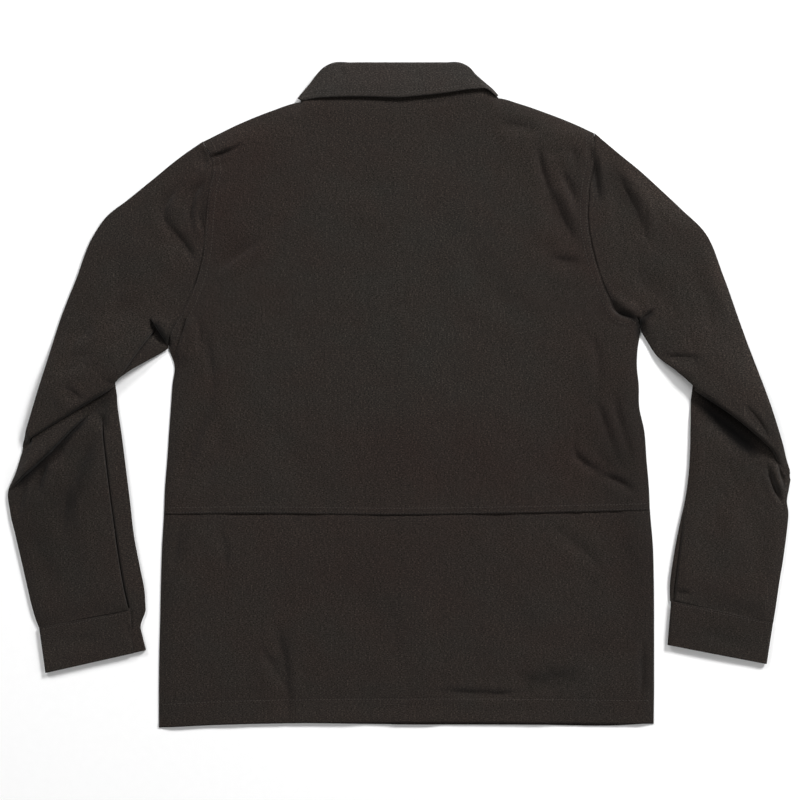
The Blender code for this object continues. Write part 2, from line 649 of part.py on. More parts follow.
def tuck_angle(steps):
    """How far the cloth turns over at the tuck: none at the outer end, half a turn from the middle."""
    return math.pi * smooth((np.asarray(steps) - TUCK_OPENS) / (TUCK_CLOSES - TUCK_OPENS))


def tuck_length(steps):
    """How far the cloth runs back beneath itself."""
    steps = np.asarray(steps)
    return TUCK_DEPTH * np.clip((steps - TUCK_CLOSES) / (1.0 - TUCK_CLOSES), 0.0, 1.0) + TUCK_LEAST_DEPTH


def tuck_drop(steps):
    """How far the tuck brings the cloth down."""
    angle = tuck_angle(steps)
    return 2.0 * TUCK_RADIUS * (1.0 - np.cos(angle)) + tuck_length(steps) * np.sin(angle)


def sleeve_frames(side, upper_arm, forearm, folds, steps):
    """Each section's places, its heading (0 is level), its tube's thickness and its folds.

    The upper arm comes down to the elbow on top of the tuck, the cloth turns over and back beneath
    itself, and the forearm goes on along the table.
    """
    steps = np.asarray(steps)
    last = upper_arm[-1]
    run = np.array(last[2:4]) - np.array(last[0:2])
    fold_length = math.hypot(*run)
    run /= fold_length
    to_hand = np.array([run[1], -run[0]]) * (1.0 if side == "left" else -1.0)
    frames = []
    for row in upper_arm[:-1]:
        plan = section_line(side, row, steps)
        from_fold = plan - np.array(last[0:2])
        share = from_fold @ run / fold_length
        behind = -(from_fold @ to_hand)
        lift = tuck_drop(np.clip(share, 0.0, 1.0)) * smooth((TUCK_LIFT_REACH - behind) / TUCK_LIFT_SLOPE)
        lift *= smooth(1.0 - (share - TUCK_LIFT_PAST) * fold_length / TUCK_LIFT_SLOPE)
        frames.append((plan, row[4] / 2 + lift, np.zeros(len(steps)), row[4], folds[0]))
    plan = section_line(side, last, steps)
    angle = tuck_angle(steps)
    length = tuck_length(steps)
    drop = tuck_drop(steps)
    start = plan - np.outer((TUCK_RADIUS + TUCK_THICKNESS / 2) * angle / math.pi, to_hand)
    spread = TUCK_SPREAD * (1.0 - angle / math.pi)
    outline = np.array(forearm[0][0:2]) - np.array(last[0:2])
    outline /= math.hypot(*outline)
    turning = smooth(steps / TUCK_TURNS)[:, None]
    ahead_run = outline + turning * (to_hand - outline)
    shares = np.linspace(0.0, 1.0, TUCK_ARC_STEPS + 1)
    states = [(turn, "down") for turn in shares] + [(turn, "up") for turn in shares]
    for number, (turn, part) in enumerate(states):
        if part == "down":
            heading = turn * angle
            ahead = TUCK_RADIUS * np.sin(heading)
            fall = TUCK_RADIUS * (1.0 - np.cos(heading))
        else:
            heading = (1.0 - turn) * angle
            ahead = TUCK_RADIUS * (2.0 * np.sin(angle) - np.sin(heading)) + length * np.cos(angle)
            fall = TUCK_RADIUS * (1.0 + np.cos(heading) - 2.0 * np.cos(angle)) + length * np.sin(angle)
        ahead = ahead + spread * number
        centre = TUCK_THICKNESS / 2 + drop - fall
        frames.append((start + ahead[:, None] * ahead_run, centre, heading, TUCK_THICKNESS, ()))
    for number, row in enumerate(forearm):
        plan = section_line(side, row, steps)
        centre = np.full(len(steps), row[4] / 2)
        frames.append((plan, centre, np.zeros(len(steps)), row[4], folds[1] if number else ()))
    return frames, to_hand


def ring_heights(steps, thickness, wall, upper):
    """Half-thickness of the flattened tube at each step across it, rounded off at its two edges."""
    breadth = UPPER_ROUNDING if upper else LOWER_ROUNDING
    return (thickness / 2 - wall) * rounded(np.minimum(steps, 1.0 - steps) / breadth)


def make_sleeve(collection, side, upper_arm, forearm, folds, finish):
    top_steps = np.array(ARMHOLE_STEPS)
    low_steps = np.array(UNDER_STEPS[1:-1])[::-1]
    top_frames, to_hand = sleeve_frames(side, upper_arm, forearm, folds, top_steps)
    low_frames, _ = sleeve_frames(side, upper_arm, forearm, folds, low_steps)
    forward = np.array([to_hand[0], to_hand[1], 0.0])
    up = np.array([0.0, 0.0, 1.0])
    skins = []
    for wall in (0.0, SLEEVE_WALL):
        rings = []
        for top, low in zip(top_frames, low_frames):
            ring = []
            for (plan, centre, heading, thickness, table), steps, above in (
                (top, top_steps, True),
                (low, low_steps, False),
            ):
                # The inner skin's edges stand in from the outer one's by the wall
                inward = wall * (np.exp(-steps / SKIN_ROUNDING) - np.exp((steps - 1.0) / SKIN_ROUNDING))
                run = np.gradient(plan, steps, axis=0)
                run /= np.hypot(*run.T)[:, None]
                place = plan + inward[:, None] * run
                half = ring_heights(steps, thickness, wall, above)
                if above:
                    deepest = SEAM_GAP - (thickness - 2.0 * SLEEVE_WALL)
                    rise = np.maximum(fold_rise(table, plan[:, 0], plan[:, 1]), deepest)
                    half = half + rise * rounded(np.minimum(steps, 1.0 - steps) / UPPER_ROUNDING)
                else:
                    half = -half
                normal = np.outer(np.sin(heading), forward) + np.outer(np.cos(heading), up)
                middle = np.column_stack([place, centre])
                ring.append(middle + half[:, None] * normal)
            rings.append(np.vstack(ring))
        skins.append(np.array(rings))
    add_tube(collection, f"sleeve_{side}", skins[0], skins[1], len(top_steps), finish)


# The cuffs


def make_cuff(collection, side, corners, finish):
    """A band wound once round, whose free end lies over its start on the upper side."""
    top_outer, top_inner, low_outer, low_inner = (np.array(corner) for corner in corners)
    wall = CUFF_WALL
    low = wall / 2
    high = CUFF_HEIGHT - wall / 2
    between = (low + high) / 2
    path = [(CUFF_OVERLAP_END, high), (0.6, high), (0.3, high), (0.1, high - 0.1)]
    for angle in np.radians((70, 35, 0, -35, -70)):
        radius = (high - low) / 2
        path.append((0.035 - 0.028 * math.cos(angle), low + radius + radius * math.sin(angle)))
    path += [(0.1, low), (0.3, low), (0.6, low), (0.9, low)]
    for angle in np.radians((-60, 0, 60)):
        radius = (between - low) / 2
        path.append((0.975 + 0.018 * math.cos(angle), low + radius + radius * math.sin(angle)))
    path += [(0.93, between), (0.83, between), (CUFF_UNDER_END, between)]
    rows = []
    for share in (0.0, 0.33, 0.67, 1.0):
        outer = top_outer + share * (low_outer - top_outer)
        inner = top_inner + share * (low_inner - top_inner)
        rows.append([(*(outer + across * (inner - outer)), z) for across, z in path])
    points = np.array(rows)
    if side == "left":
        points = points[::-1]
    add_sheet(collection, f"cuff_{side}", points, wall, finish, offset=0.0)


# The collar


def make_collar(collection, finish):
    """The stand rises from the neck seam, rolls over the fold, and the leaf comes down over it."""
    rows = []
    for fold_x, fold_y, leaf_x, leaf_y, neck_x, neck_y, leaf_z, stand_z in COLLAR:
        fold = np.array([fold_x, fold_y])
        leaf = np.array([leaf_x, leaf_y])
        neck = np.array([neck_x, neck_y])
        drop = math.hypot(*(leaf - fold))
        down = (leaf - fold) / drop
        low_z = min(stand_z, STAND_FOLD_HEIGHT)
        radius = min(COLLAR_ROLL, 0.3 * drop, (leaf_z - low_z) / 2)
        radius = max(radius, 0.95)
        turn = fold + down * radius
        stand_run = neck - turn
        section = []
        for share in (0.0, 0.35, 0.7):
            z = stand_z + (low_z - stand_z) * smooth(share / 0.7)
            section.append((*(neck - share * stand_run), z))
        for angle in np.radians((-90, -45, 0, 45, 90)):
            z = low_z + radius + radius * math.sin(angle)
            section.append((*(turn - down * radius * math.cos(angle)), z))
        high_z = low_z + 2 * radius
        for share, crown in ((0.3, 0.6), (0.6, 0.7), (0.85, 0.3), (1.0, 0.0)):
            z = high_z + (leaf_z - high_z) * share + crown
            section.append((*(turn + share * (leaf - turn)), z))
        rows.append(section)
    points = np.array(rows).transpose(1, 0, 2)
    add_sheet(collection, "collar", points, COLLAR_WALL, finish, offset=0.0)


def make_collar_end(collection, side, corners, finish):
    """One turned-down front end of the collar, flat on the table under its front."""
    fold_top, fold_end, point, outer_end = (np.array(corner) for corner in corners)
    rows = []
    for share in np.linspace(0.0, 1.0, 7):
        inner = fold_top + share * (fold_end - fold_top)
        outer = outer_end + share * (point - outer_end)
        bow = 5.0 * share * (1.0 - share)
        inner = inner - np.array([0.0, bow])
        outer = outer - np.array([0.0, bow])
        rows.append([(*(outer + across * (inner - outer)), COLLAR_WALL) for across in (0, 0.5, 1)])
    points = np.array(rows)
    if side == "right":
        points = points[:, ::-1]
    add_sheet(collection, f"collar_front_{side}", points, COLLAR_WALL, finish)


def main():
    for old in list(bpy.data.objects):
        bpy.data.objects.remove(old, do_unlink=True)
    jacket = bpy.data.collections.new("chore_jacket")
    bpy.context.scene.collection.children.link(jacket)

    canvas = {}
    for piece in ("back", "sleeve", "cuff", "collar"):
        canvas[piece] = material(f"canvas_{piece}", CANVAS, 0.9)
    canvas["front"] = material("canvas_front", TABLE_SIDE_CANVAS, 0.9)
    horn = material("horn_button", HORN, 0.4)

    make_back_upper(jacket, canvas["back"])
    make_back_lower(jacket, canvas["back"])
    make_front(jacket, "left", canvas["front"])
    make_front(jacket, "right", canvas["front"])
    for number, x, y in button_places():
        make_button(jacket, number, x, y, horn)
    folds = (LEFT_UPPER_ARM_FOLDS, LEFT_FOREARM_FOLDS)
    make_sleeve(jacket, "left", LEFT_UPPER_ARM, LEFT_FOREARM, folds, canvas["sleeve"])
    folds = (RIGHT_UPPER_ARM_FOLDS, RIGHT_FOREARM_FOLDS)
    make_sleeve(jacket, "right", RIGHT_UPPER_ARM, RIGHT_FOREARM, folds, canvas["sleeve"])
    make_cuff(jacket, "left", LEFT_CUFF, canvas["cuff"])
    make_cuff(jacket, "right", RIGHT_CUFF, canvas["cuff"])
    make_collar(jacket, canvas["collar"])
    make_collar_end(jacket, "left", LEFT_COLLAR_END, canvas["collar"])
    make_collar_end(jacket, "right", RIGHT_COLLAR_END, canvas["collar"])


main()
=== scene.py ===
"""The looks of a canvas chore jacket laid flat on its front: cloth, folds, sewing, buttons and light.

Sizes are in millimetres in the model's own frame, +X towards the right sleeve, +Y towards the
collar and +Z up, until a vertex is written. The tables of the cut are those of the solids, read
here as smooth curves and with all the folds.
"""

import math

import bmesh
import bpy
import numpy as np
from mathutils import Matrix, Vector
from mathutils.bvhtree import BVHTree


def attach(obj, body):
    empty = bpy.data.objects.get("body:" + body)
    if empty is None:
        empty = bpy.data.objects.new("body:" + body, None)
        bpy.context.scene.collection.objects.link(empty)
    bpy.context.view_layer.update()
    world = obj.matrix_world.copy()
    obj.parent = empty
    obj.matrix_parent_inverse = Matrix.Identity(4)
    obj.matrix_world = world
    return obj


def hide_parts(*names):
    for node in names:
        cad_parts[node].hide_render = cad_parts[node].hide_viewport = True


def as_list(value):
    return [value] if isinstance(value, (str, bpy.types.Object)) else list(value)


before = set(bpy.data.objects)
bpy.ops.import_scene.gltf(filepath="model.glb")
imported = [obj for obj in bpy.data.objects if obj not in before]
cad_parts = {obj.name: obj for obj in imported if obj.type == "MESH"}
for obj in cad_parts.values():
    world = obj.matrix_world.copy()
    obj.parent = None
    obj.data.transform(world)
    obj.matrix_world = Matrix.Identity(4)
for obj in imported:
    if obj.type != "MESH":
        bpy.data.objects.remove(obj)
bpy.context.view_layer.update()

MM = 0.001

# Which way along X each side lies from the middle of the jacket
OUTWARD = {"left": -1.0, "right": 1.0}

# Cloth and seams
SEAM_GAP = 0.3
LAYER_GAP = 0.5
SLEEVE_WALL = 0.9
FRONT_WALL = 1.2
BACK_WALL = 1.3
COLLAR_WALL = 1.4
CUFF_WALL = 1.2

# The mesh's spacing on each sort of piece, and the places of its rows beside an edge
PANEL_PITCH = 2.4
EDGE_PLACES = (0.0, 0.25, 0.8, 1.7, 3.0, 4.7, 6.8)
ARMHOLE_LENGTH = 262.0
ARMHOLE_PLACES = (0.0, 0.5, 1.5)
ARMHOLE_POINTS = 60
UPPER_SIDE_ROWS = int(200.0 / PANEL_PITCH)
LOWER_ROWS = int(245.0 / PANEL_PITCH)
HEM_ROWS = (1.4, 0.5, 0.0)
FRONT_PITCH = 5.0
FRONT_ARMHOLE_PLACES = (0.0, 1.5)
FRONT_EDGE_PLACES = (0.0, 1.5, 3.5)
SLEEVE_PITCH = 2.1
SLEEVE_TOP_POINTS = 161
SLEEVE_LOW_POINTS = 59
CUFF_POINTS = 150
CUFF_DEPTH = 50.0
CUFF_PITCH = 2.0
CUFF_EDGE_PLACES = (0.0, 0.4, 1.2)
COLLAR_SECTIONS = 130
COLLAR_END_LENGTH = 120.0
COLLAR_END_DEPTH = 60.0
COLLAR_END_PITCH = 4.0
COLLAR_EDGE_PLACES = (0.0, 1.0)

# Unevenness of laid cloth: rise and size of each sort of wave
WAVES = ((0.6, 170.0), (0.42, 62.0), (0.15, 24.0))
# Long and short creases: how much X and Y count, size and sharpness
CREASES = ((1.0, 0.6, 46.0, 0.22), (0.8, 1.0, 26.0, 0.2))
CREASE_WAVES = 7
CRUMPLE_SEED = 5
SEEDS = {
    "back_upper": 3,
    "back_lower": 53,
    "armhole": 31,
    "waist": 37,
    "hem": 41,
    "sleeve_left": 71,
    "sleeve_right": 83,
    "cuff": 91,
    "collar": 17,
}

# Folds: how far one is felt, how its line wanders (size, seed, waves), how its ends fade, the lips
# beside a trough, and how a deep one draws the cloth together
FOLD_REACH = 3.5
FOLD_WANDER = (52.0, 7, 8)
FOLD_WANDER_SHARE = 0.07
FOLD_WANDER_BREADTH = 16.0
FOLD_FADE = 0.42
FOLD_LIP = 0.2
FOLD_DEEP = 3.0
FOLD_GATHER = 0.36
FOLD_GATHER_REACH = 1.6
FOLD_GATHER_WIDTH = 5.0

# Laps, in breadths of the step but for the reach
LAP_REACH = 2.5
LAP_OVERHANG = 0.4
LAP_EDGE_PLACE = 0.9
LAP_GROOVE_WIDTH = 0.7

# A lapped seam's relief, and the puckers beside it
SEAM_RISE = 0.45
SEAM_ROLL = 0.9
SEAM_ROLL_WIDTH = 1.3
SEAM_PAST_ROWS = 2.2
SEAM_SLOPE = 2.6
WAIST_BAND = (0.4, 0.3)
STITCH_GROOVE = 0.32
STITCH_GROOVE_WIDTH = 1.2
PUCKER_LENGTH = 19.0
PUCKER_WAVES = 9
PUCKER_RISE = 0.28
PUCKER_BREADTH = 16.0

# Rows of topstitching, from the seam or the edge
ARMHOLE_STITCH_ROWS = (2.3, 9.2)
ARMHOLE_STITCH_SPAN = (0.012, 0.97)
WAIST_STITCH_ROWS = (2.0, 7.8)
HEM_STITCH_ROW = 27.0
LEAF_STITCH_ROW = 5.8
CUFF_STITCH_ROW = 2.2
CUFF_STITCH_SHARES = {"left": (0.04, 0.84), "right": (0.03, 0.96)}
SEAM_POINTS = 60

# Each stitch
STITCH_PITCH = 3.5
STITCH_LENGTH = 1.9
THREAD_RADIUS = 0.26
THREAD_SIDES = 6
# From an end of a stitch to its middle: share of the way, lift and share of the thread's radius
STITCH_SPINE = ((0.0, -0.16, 0.55), (0.28, 0.06, 0.95), (1.0, 0.12, 1.0))

# The back
BACK_HEIGHT = 6.5
BACK_OVER_PLACKET = 0.6
PLACKET_RISE_REACH = 45.0
PLACKET_RISE_SLOPE = 25.0
ROLLED_EDGE_HEIGHT = 0.9
ROLL_WIDTH = 22.0
ROLL_START = 0.93
HELD_EDGE = 6.0
ARMPIT_FADE = 30.0
NECK_EDGE_HEIGHT = 4.8
NECK_MIDDLE_X = -1.5
NECK_EDGE_HALF_WIDTH = 119.5
NECK_EDGE_FADE = 18.0
BACK_PAST_LEAF = 2.0
WAIST_LAP = 10.0
WAIST_LAP_INSET = 2.2
WAIST_LAP_FADE = 20.0
WAIST_STEP = 0.8
WAIST_STEP_REACH = 40.0
WAIST_SHOWN = 3.0
LAP_CLEARANCE = 0.6
HEM_SINK = 2.3
HEM_SINK_REACH = 45.0
HEM_GROOVE = 0.4
HEM_GROOVE_WIDTH = 1.6
HEM_FOLD_RISE = 0.3
HEM_FOLD_SLOPE = 2.0
HEM_ROLL = 0.8
HEM_ABOVE_TABLE = 0.05
HEM_CORNER_REACH = 9.0

# The closed front
FRONT_INSET = 2.2
INSET_FADE = 0.03
FRONT_UNDERLAP = 1.8
UNDERLAP_START = 0.66
UNDERLAP_RUN = 0.1
UNDERLAP_END = 0.02
PLACKET_TOP_X = -1.5
PLACKET_HEM_X = 8.0
PLACKET_LAP = 17.0
LAP_STEP = FRONT_WALL + 0.6
LAP_STEP_REACH = 46.0
LAP_STEP_SLOPE = 24.0
NECK_HALF_WIDTH = 112.0
NECKLINE_BOTTOM_Y = 257.0
NECKLINE_TOP_Y = 333.0
NECKLINE_CURVE = 1.6
LEAF_LIFT = COLLAR_WALL + 0.35
LEAF_LINE_TOP = (112.0, 335.0)
LEAF_REACH = 85.0
LEAF_SLOPE = 20.0
SHOULDER_SLOPE = 0.377
SHOULDER_CLEARANCE = 6.0
SHOULDER_FADE = 10.0

# Buttons. The profile runs from the middle of the face to the middle of the back: radius, height
BUTTON_THICKNESS = 2.0
BUTTON_LIFT = BUTTON_THICKNESS + SEAM_GAP
BUTTON_TOP_Y = 228.0
BUTTON_PITCH = 105.0
BUTTON_COUNT = 5
BUMP_REACH = 38.0
BUMP_SLOPE = 28.0
BUTTON_PROFILE = (
    (0.0, 1.0),
    (5.2, 1.0),
    (5.9, 0.45),
    (6.6, 0.1),
    (7.6, 0.0),
    (8.3, 0.35),
    (8.5, 1.0),
    (8.1, 1.8),
    (7.2, 2.0),
    (0.0, 2.0),
)
HOLE_RADIUS = 0.95
HOLE_PLACE = 2.1
THREAD_END_Z = 1.4
THREAD_MIDDLE_Z = 0.7

# The elbow's tuck
TUCK_THICKNESS = 3.4
TUCK_RADIUS = 1.9
TUCK_DEPTH = 20.0
TUCK_LEAST_DEPTH = 0.8
TUCK_OPENS = {"left": 0.0, "right": 0.02}
TUCK_CLOSES = {"left": 0.13, "right": 0.24}
TUCK_TURNS = 0.2
TUCK_BACK_START = 0.45
TUCK_BACK_RUN = 0.5
TUCK_SPREAD = 0.5
TUCK_ARC_STEPS = 8
# side: extra radius, and the shares of the fold line between which it stands off
TUCK_STAND_OFF = {"left": (0.5, 0.3, 1.0), "right": (1.5, 0.12, 1.05)}
TUCK_LIFT_REACH = 95.0
TUCK_LIFT_SLOPE = 62.0
TUCK_LIFT_PAST = 1.08

# The sleeve's edges, in shares of its breadth, and its end in the cuff
UPPER_ROUNDING = 0.14
LOWER_ROUNDING = 0.04
SKIN_ROUNDING = 0.03
HELD_SECTIONS = 4
FOREARM_PUFF = 1.8
PUFF_START = 30.0
PUFF_END = 34.0
CUFF_INSERT = 4.0
CUFF_INSERT_THICKNESS = 2.0
CUFF_INSERT_HEIGHT = 2.35
CUFF_SQUEEZE = 3.5
VENT_RUN = {"left": 19.0, "right": 0.0}
VENT_EDGE = 0.005
VENT_UNDERLAP = 0.06
VENT_FADE = 0.02
VENT_NARROWING = 10.0

# The cuffs. The ends of the band are given as shares of its breadth
CUFF_HEIGHT = 6.2
CUFF_UNDER_LAYER = 4.1
CUFF_OVERLAP_END = {"left": 0.87, "right": 0.985}
# The turned lip of the free end: share back from the end, drop below the top
CUFF_LIP = {
    "left": ((0.0, 0.7), (0.004, 0.25), (0.015, 0.0)),
    "right": ((0.0, 2.2), (0.001, 1.2), (0.007, 0.35), (0.02, 0.0)),
}
CUFF_UNDER_END = 0.7
CUFF_UNDER_TURN = {"left": 0.975, "right": 0.94}
CUFF_UNDER_DROP = {"left": 0.42, "right": 0.1}
CUFF_NARROWING = {"left": 6.5, "right": 0.0}

# The collar
COLLAR_ROLL = 2.9
COLLAR_LEAST_ROLL = 0.95
STAND_FOLD_HEIGHT = 3.0
NECK_BEHIND_LEAF = 3.2
LEAF_CROWN = 0.75
LEAF_GROOVE = 0.3
COLLAR_END_BOW = 5.0

# Colours, and how much the weave's slubs differ from them
CLOTH_COLOUR = (0.0160, 0.0128, 0.0108)
COLLAR_COLOUR = (0.0234, 0.0202, 0.0181)
CLOTH_CONTRAST = 0.86
COLLAR_CONTRAST = 0.66
THREAD_SHARE = 1.6
COLLAR_THREAD_SHARE = 2.4
WARM_TINT = (1.03, 0.96, 0.93)
COOL_TINT = (0.98, 1.01, 1.0)
HORN_DARK = (0.012, 0.009, 0.007)
HORN_PALE = (0.05, 0.035, 0.025)
PAPER_TONES = ((0.90, 0.90, 0.90), (0.92, 0.92, 0.92))
# The dark, light and flecked slubs: what a full contrast adds to the colour, as a share of it
SLUB_TONES = (-0.86, 0.86, 2.2)
# In metres
SLUB_SIZE = 0.0008
BLOTCH_SIZE = 0.045
# A wave texture has 20 bands in each full turn of its scale
BAND_TURN = 2.0 * math.pi / 20.0
THREAD_PITCH = 0.8

# The stage, in metres and watts
FLOOR_REACH = 6.0
FLOOR_Z = -0.0001
WORLD_STRENGTH = 0.07
# name, place, width and height, watts; each one faces the model's origin
LIGHTS = (
    ("softbox_top_right", (2.3, 2.8, 2.4), (1.5, 1.0), 232.0),
    ("softbox_top_left", (-2.1, 2.9, 2.4), (1.6, 1.0), 84.0),
    ("softbox_right", (3.2, -0.6, 2.0), (1.0, 1.6), 34.0),
    ("softbox_left", (-3.2, -0.6, 2.0), (1.0, 1.6), 16.0),
    ("softbox_low", (-0.3, -3.2, 2.4), (2.0, 1.2), 26.0),
)

# The camera, in millimetres
CAMERA_LENS = 85.0
CAMERA_SENSOR = 36.0
CAMERA_PLACE = (0.6, -4.9)
PICTURE_WIDTH = 920.0

# piece: width, length and area in metres of the cut of what shows, all round on a tube; what it lies on
SHEETS = {
    "back_upper": (0.566, 0.476, 0.235, ("cloth_back_lower", "cloth_front_left", "cloth_front_right")),
    "back_lower": (0.572, 0.258, 0.143, ("cloth_front_left", "cloth_front_right")),
    "front_left": (0.305, 0.716, 0.187, ("floor", "cloth_collar_front_left")),
    "front_right": (0.31, 0.716, 0.191, ("floor", "cloth_front_left", "cloth_collar_front_right")),
    "sleeve_left": (0.49, 0.62, 0.141, ("floor",)),
    "sleeve_right": (0.47, 0.62, 0.132, ("floor",)),
    "cuff_left": (0.27, 0.052, 0.0125, ("floor",)),
    "cuff_right": (0.275, 0.052, 0.0135, ("floor",)),
    "collar": (0.235, 0.082, 0.0148, ("cloth_back_upper",)),
    "collar_front_left": (0.12, 0.061, 0.0053, ("floor",)),
    "collar_front_right": (0.12, 0.061, 0.0052, ("floor",)),
}

# The topstitched pieces, and the slot of their sewing
SEWN_SLOTS = {
    "back_upper": "body_canvas",
    "back_lower": "body_canvas",
    "collar": "collar_canvas",
    "cuff_left": "cuff_canvas",
    "cuff_right": "cuff_canvas",
}

# left x, left y, right x, right y: the armhole seams from shoulder to armpit
ARMHOLES = (
    (-226, 291.8, 223.7, 301.7),
    (-218.5, 276.9, 224, 282.6),
    (-214.1, 260.8, 222.9, 261.9),
    (-218.2, 241.2, 218.5, 240.1),
    (-221.6, 215.9, 216.8, 215.9),
    (-223.3, 190.6, 217.9, 189.5),
    (-226, 163, 223.1, 164.2),
    (-232.3, 136.6, 231.1, 136.6),
    (-242.1, 110.1, 241.5, 111.3),
    (-252.4, 91.1, 251.7, 94.4),
    (-262.2, 74.5, 268, 88.3),
    (-264.8, 63.5, 275, 82.8),
    (-265.1, 54.3, 277.3, 73.3),
)

# y, left x, right x: the side seams from armpit to hem
SIDES = (
    (74, -266, 277.2),
    (54.3, -265.1, 273.8),
    (34.2, -258.6, 272.9),
    (12.4, -261, 275),
    (-12.9, -262.8, 275.6),
    (-39.4, -264.7, 281.2),
    (-73.9, -267, 284),
    (-108.4, -269.7, 286.9),
    (-137, -270.8, 288),
    (-177.4, -273.1, 291.3),
    (-218.8, -274.3, 292.4),
    (-260.2, -275.2, 292.7),
    (-301.6, -276.2, 292.7),
    (-343, -276.6, 292.7),
    (-381.4, -276.6, 292.2),
)

# x, y: left shoulder, back neck and right shoulder
TOP_EDGE = (
    (-226, 291.8),
    (-182.3, 313.2),
    (-146.6, 327.5),
    (-117.9, 336.7),
    (-79.9, 334.9),
    (-0.6, 334.4),
    (53.5, 335.3),
    (92.6, 338.4),
    (115, 341.8),
    (136.3, 336.1),
    (167.3, 325.5),
    (203, 311.4),
    (223.7, 301.7),
)

# x, y of the waist seam
WAIST = ((-270.8, -136.6), (-194.9, -135.3), (0.6, -136.8), (161.6, -134.6), (288, -131.6))

# x, y of the back's hem, y of the fronts' hem
HEMS = (
    (-276.6, -381.4, -379.6),
    (-203, -377.9, -376.6),
    (-132.8, -376.3, -376.3),
    (0.6, -375.1, -377.6),
    (160.4, -375.5, -378.2),
    (251.3, -376.6, -378.8),
    (292.1, -377, -376.4),
)

# Sleeve sections. outer x, y and inner x, y; height; scye: how much of the armhole's curve it keeps;
# sag: how far its middle bends towards the hand. The last section of an upper arm is its fold line.
LEFT_UPPER_ARM = (
    (-226, 291.8, -265.1, 54.3, 6.5, 1, 0),
    (-252.4, 273.4, -269.5, 51.5, 6.4, 0.75, 0),
    (-283.5, 248.1, -275, 48, 6.3, 0.45, 0),
    (-312, 225, -282, 44, 6.2, 0.2, 0),
    (-337.1, 205, -289, 40.2, 6.2, 0.05, 0),
    (-352, 183, -295, 36.7, 6.1, 0, 0),
    (-371.4, 133.7, -305.5, 30.8, 5.8, 0, 0),
    (-389.3, 88.3, -314, 25, 5.2, 0, 0),
    (-406.5, 31.9, -320.3, 20.4, 4.4, 0, 0),
    (-418.5, -8, -323.6, 16.9, 3.8, 0, 0),
    (-432.4, -54.3, -325.5, 10, TUCK_THICKNESS, 0, 0),
)
LEFT_FOREARM = (
    (-434.5, -68, -324.6, 0, TUCK_THICKNESS, 0, 0),
    (-441, -89, -323.8, -11.5, 3.7, 0, 0),
    (-449.6, -111.3, -321.5, -28, 4.3, 0, 0),
    (-447.3, -132.5, -318.5, -48, 4.8, 0, 0),
    (-441.5, -158, -314, -84, 5.2, 0, 0),
    (-434.5, -188, -309, -124, 5.4, 0, 0),
    (-428.5, -214, -305, -159, 5.4, 0, 0),
    (-422.5, -240, -297.5, -199, 5.4, 0, 0),
    (-418, -256, -293, -222, 5.2, 0, 0),
    (-414.5, -265.6, -291.6, -242.8, 4.7, 0, 0),
)
RIGHT_UPPER_ARM = (
    (223.7, 301.7, 277.3, 73.3, 6.5, 1, 0),
    (250, 279.5, 283, 64.5, 6.4, 0.38, 0),
    (276.6, 257.8, 286, 59.8, 6.3, 0.18, 0),
    (300, 236.5, 288.7, 55.3, 6.2, 0.08, 0),
    (325, 213, 291.5, 50.8, 6.2, 0.03, 0),
    (350.2, 188.3, 295.5, 45.5, 6.1, 0, 0),
    (371.5, 139, 303.5, 38.5, 5.8, 0, 0),
    (389.5, 88.5, 314.5, 30.5, 5.2, 0, -2),
    (405.6, 43.3, 323.5, 22.8, 4.4, 0, -4),
    (427, -18.5, 330.5, 16.4, 3.8, 0, -6),
    (448.6, -85.4, 336.4, 5.5, TUCK_THICKNESS, 0, -6),
)
RIGHT_FOREARM = (
    (449.4, -96.5, 334.8, -5, TUCK_THICKNESS, 0, -4),
    (447.4, -107, 334.5, -20, 3.7, 0, -2),
    (445, -120.5, 334.2, -37, 4.3, 0, 0),
    (446.6, -134, 333.8, -57, 4.8, 0, 0),
    (444.5, -158, 332.3, -86, 5.2, 0, 0),
    (440.5, -188, 328.3, -117, 5.4, 0, 0),
    (436.5, -212, 321, -151, 5.4, 0, 0),
    (433, -236, 314, -189, 5.4, 0, 0),
    (431, -250, 310.5, -216, 5.2, 0, 0),
    (429.5, -260, 310.5, -234.4, 4.7, 0, 0),
)
SLEEVES = {"left": (LEFT_UPPER_ARM, LEFT_FOREARM), "right": (RIGHT_UPPER_ARM, RIGHT_FOREARM)}

# The corners of each cuff: outer and inner end of the sleeve seam, then outer and inner hem
CUFFS = {
    "left": ((-414.2, -266.3), (-291.7, -243.5), (-406.9, -318.3), (-290.5, -292)),
    "right": ((429.3, -260.6), (310.6, -235.1), (422, -308), (306.5, -285.7)),
}

# fold x, y; leaf edge x, y; leaf height and stand height above the table
COLLAR = (
    (-116.5, 341, -113, 338.8, 4.6, 2.6),
    (-109.8, 349.3, -103, 340.3, 6.6, 3.4),
    (-101.8, 358.5, -93, 341.6, 7.8, 4.8),
    (-94.9, 367.7, -83, 342, 8.6, 6.5),
    (-86.8, 376, -71, 342.4, 8.9, 6.5),
    (-77.6, 380.8, -58, 342.6, 9, 6.5),
    (-55, 381.6, -40, 342.6, 9.2, 6.5),
    (-28, 381.7, -20, 342, 9.4, 6.5),
    (0.6, 381.7, 0, 341.6, 9.5, 6.5),
    (27, 381.7, 24, 343.7, 9.5, 6.5),
    (52, 381.7, 46, 346, 9.4, 6.5),
    (70, 381.3, 62, 348.3, 9.3, 6.5),
    (79, 376.9, 76, 350.5, 9.3, 6.5),
    (87.5, 367.7, 88, 351.6, 9.4, 6.5),
    (98.3, 358.5, 99, 351.9, 9.6, 4.8),
    (106.8, 351.4, 105.8, 347.6, 9.2, 3.4),
    (113, 344.6, 111.5, 343, 4.6, 2.6),
)

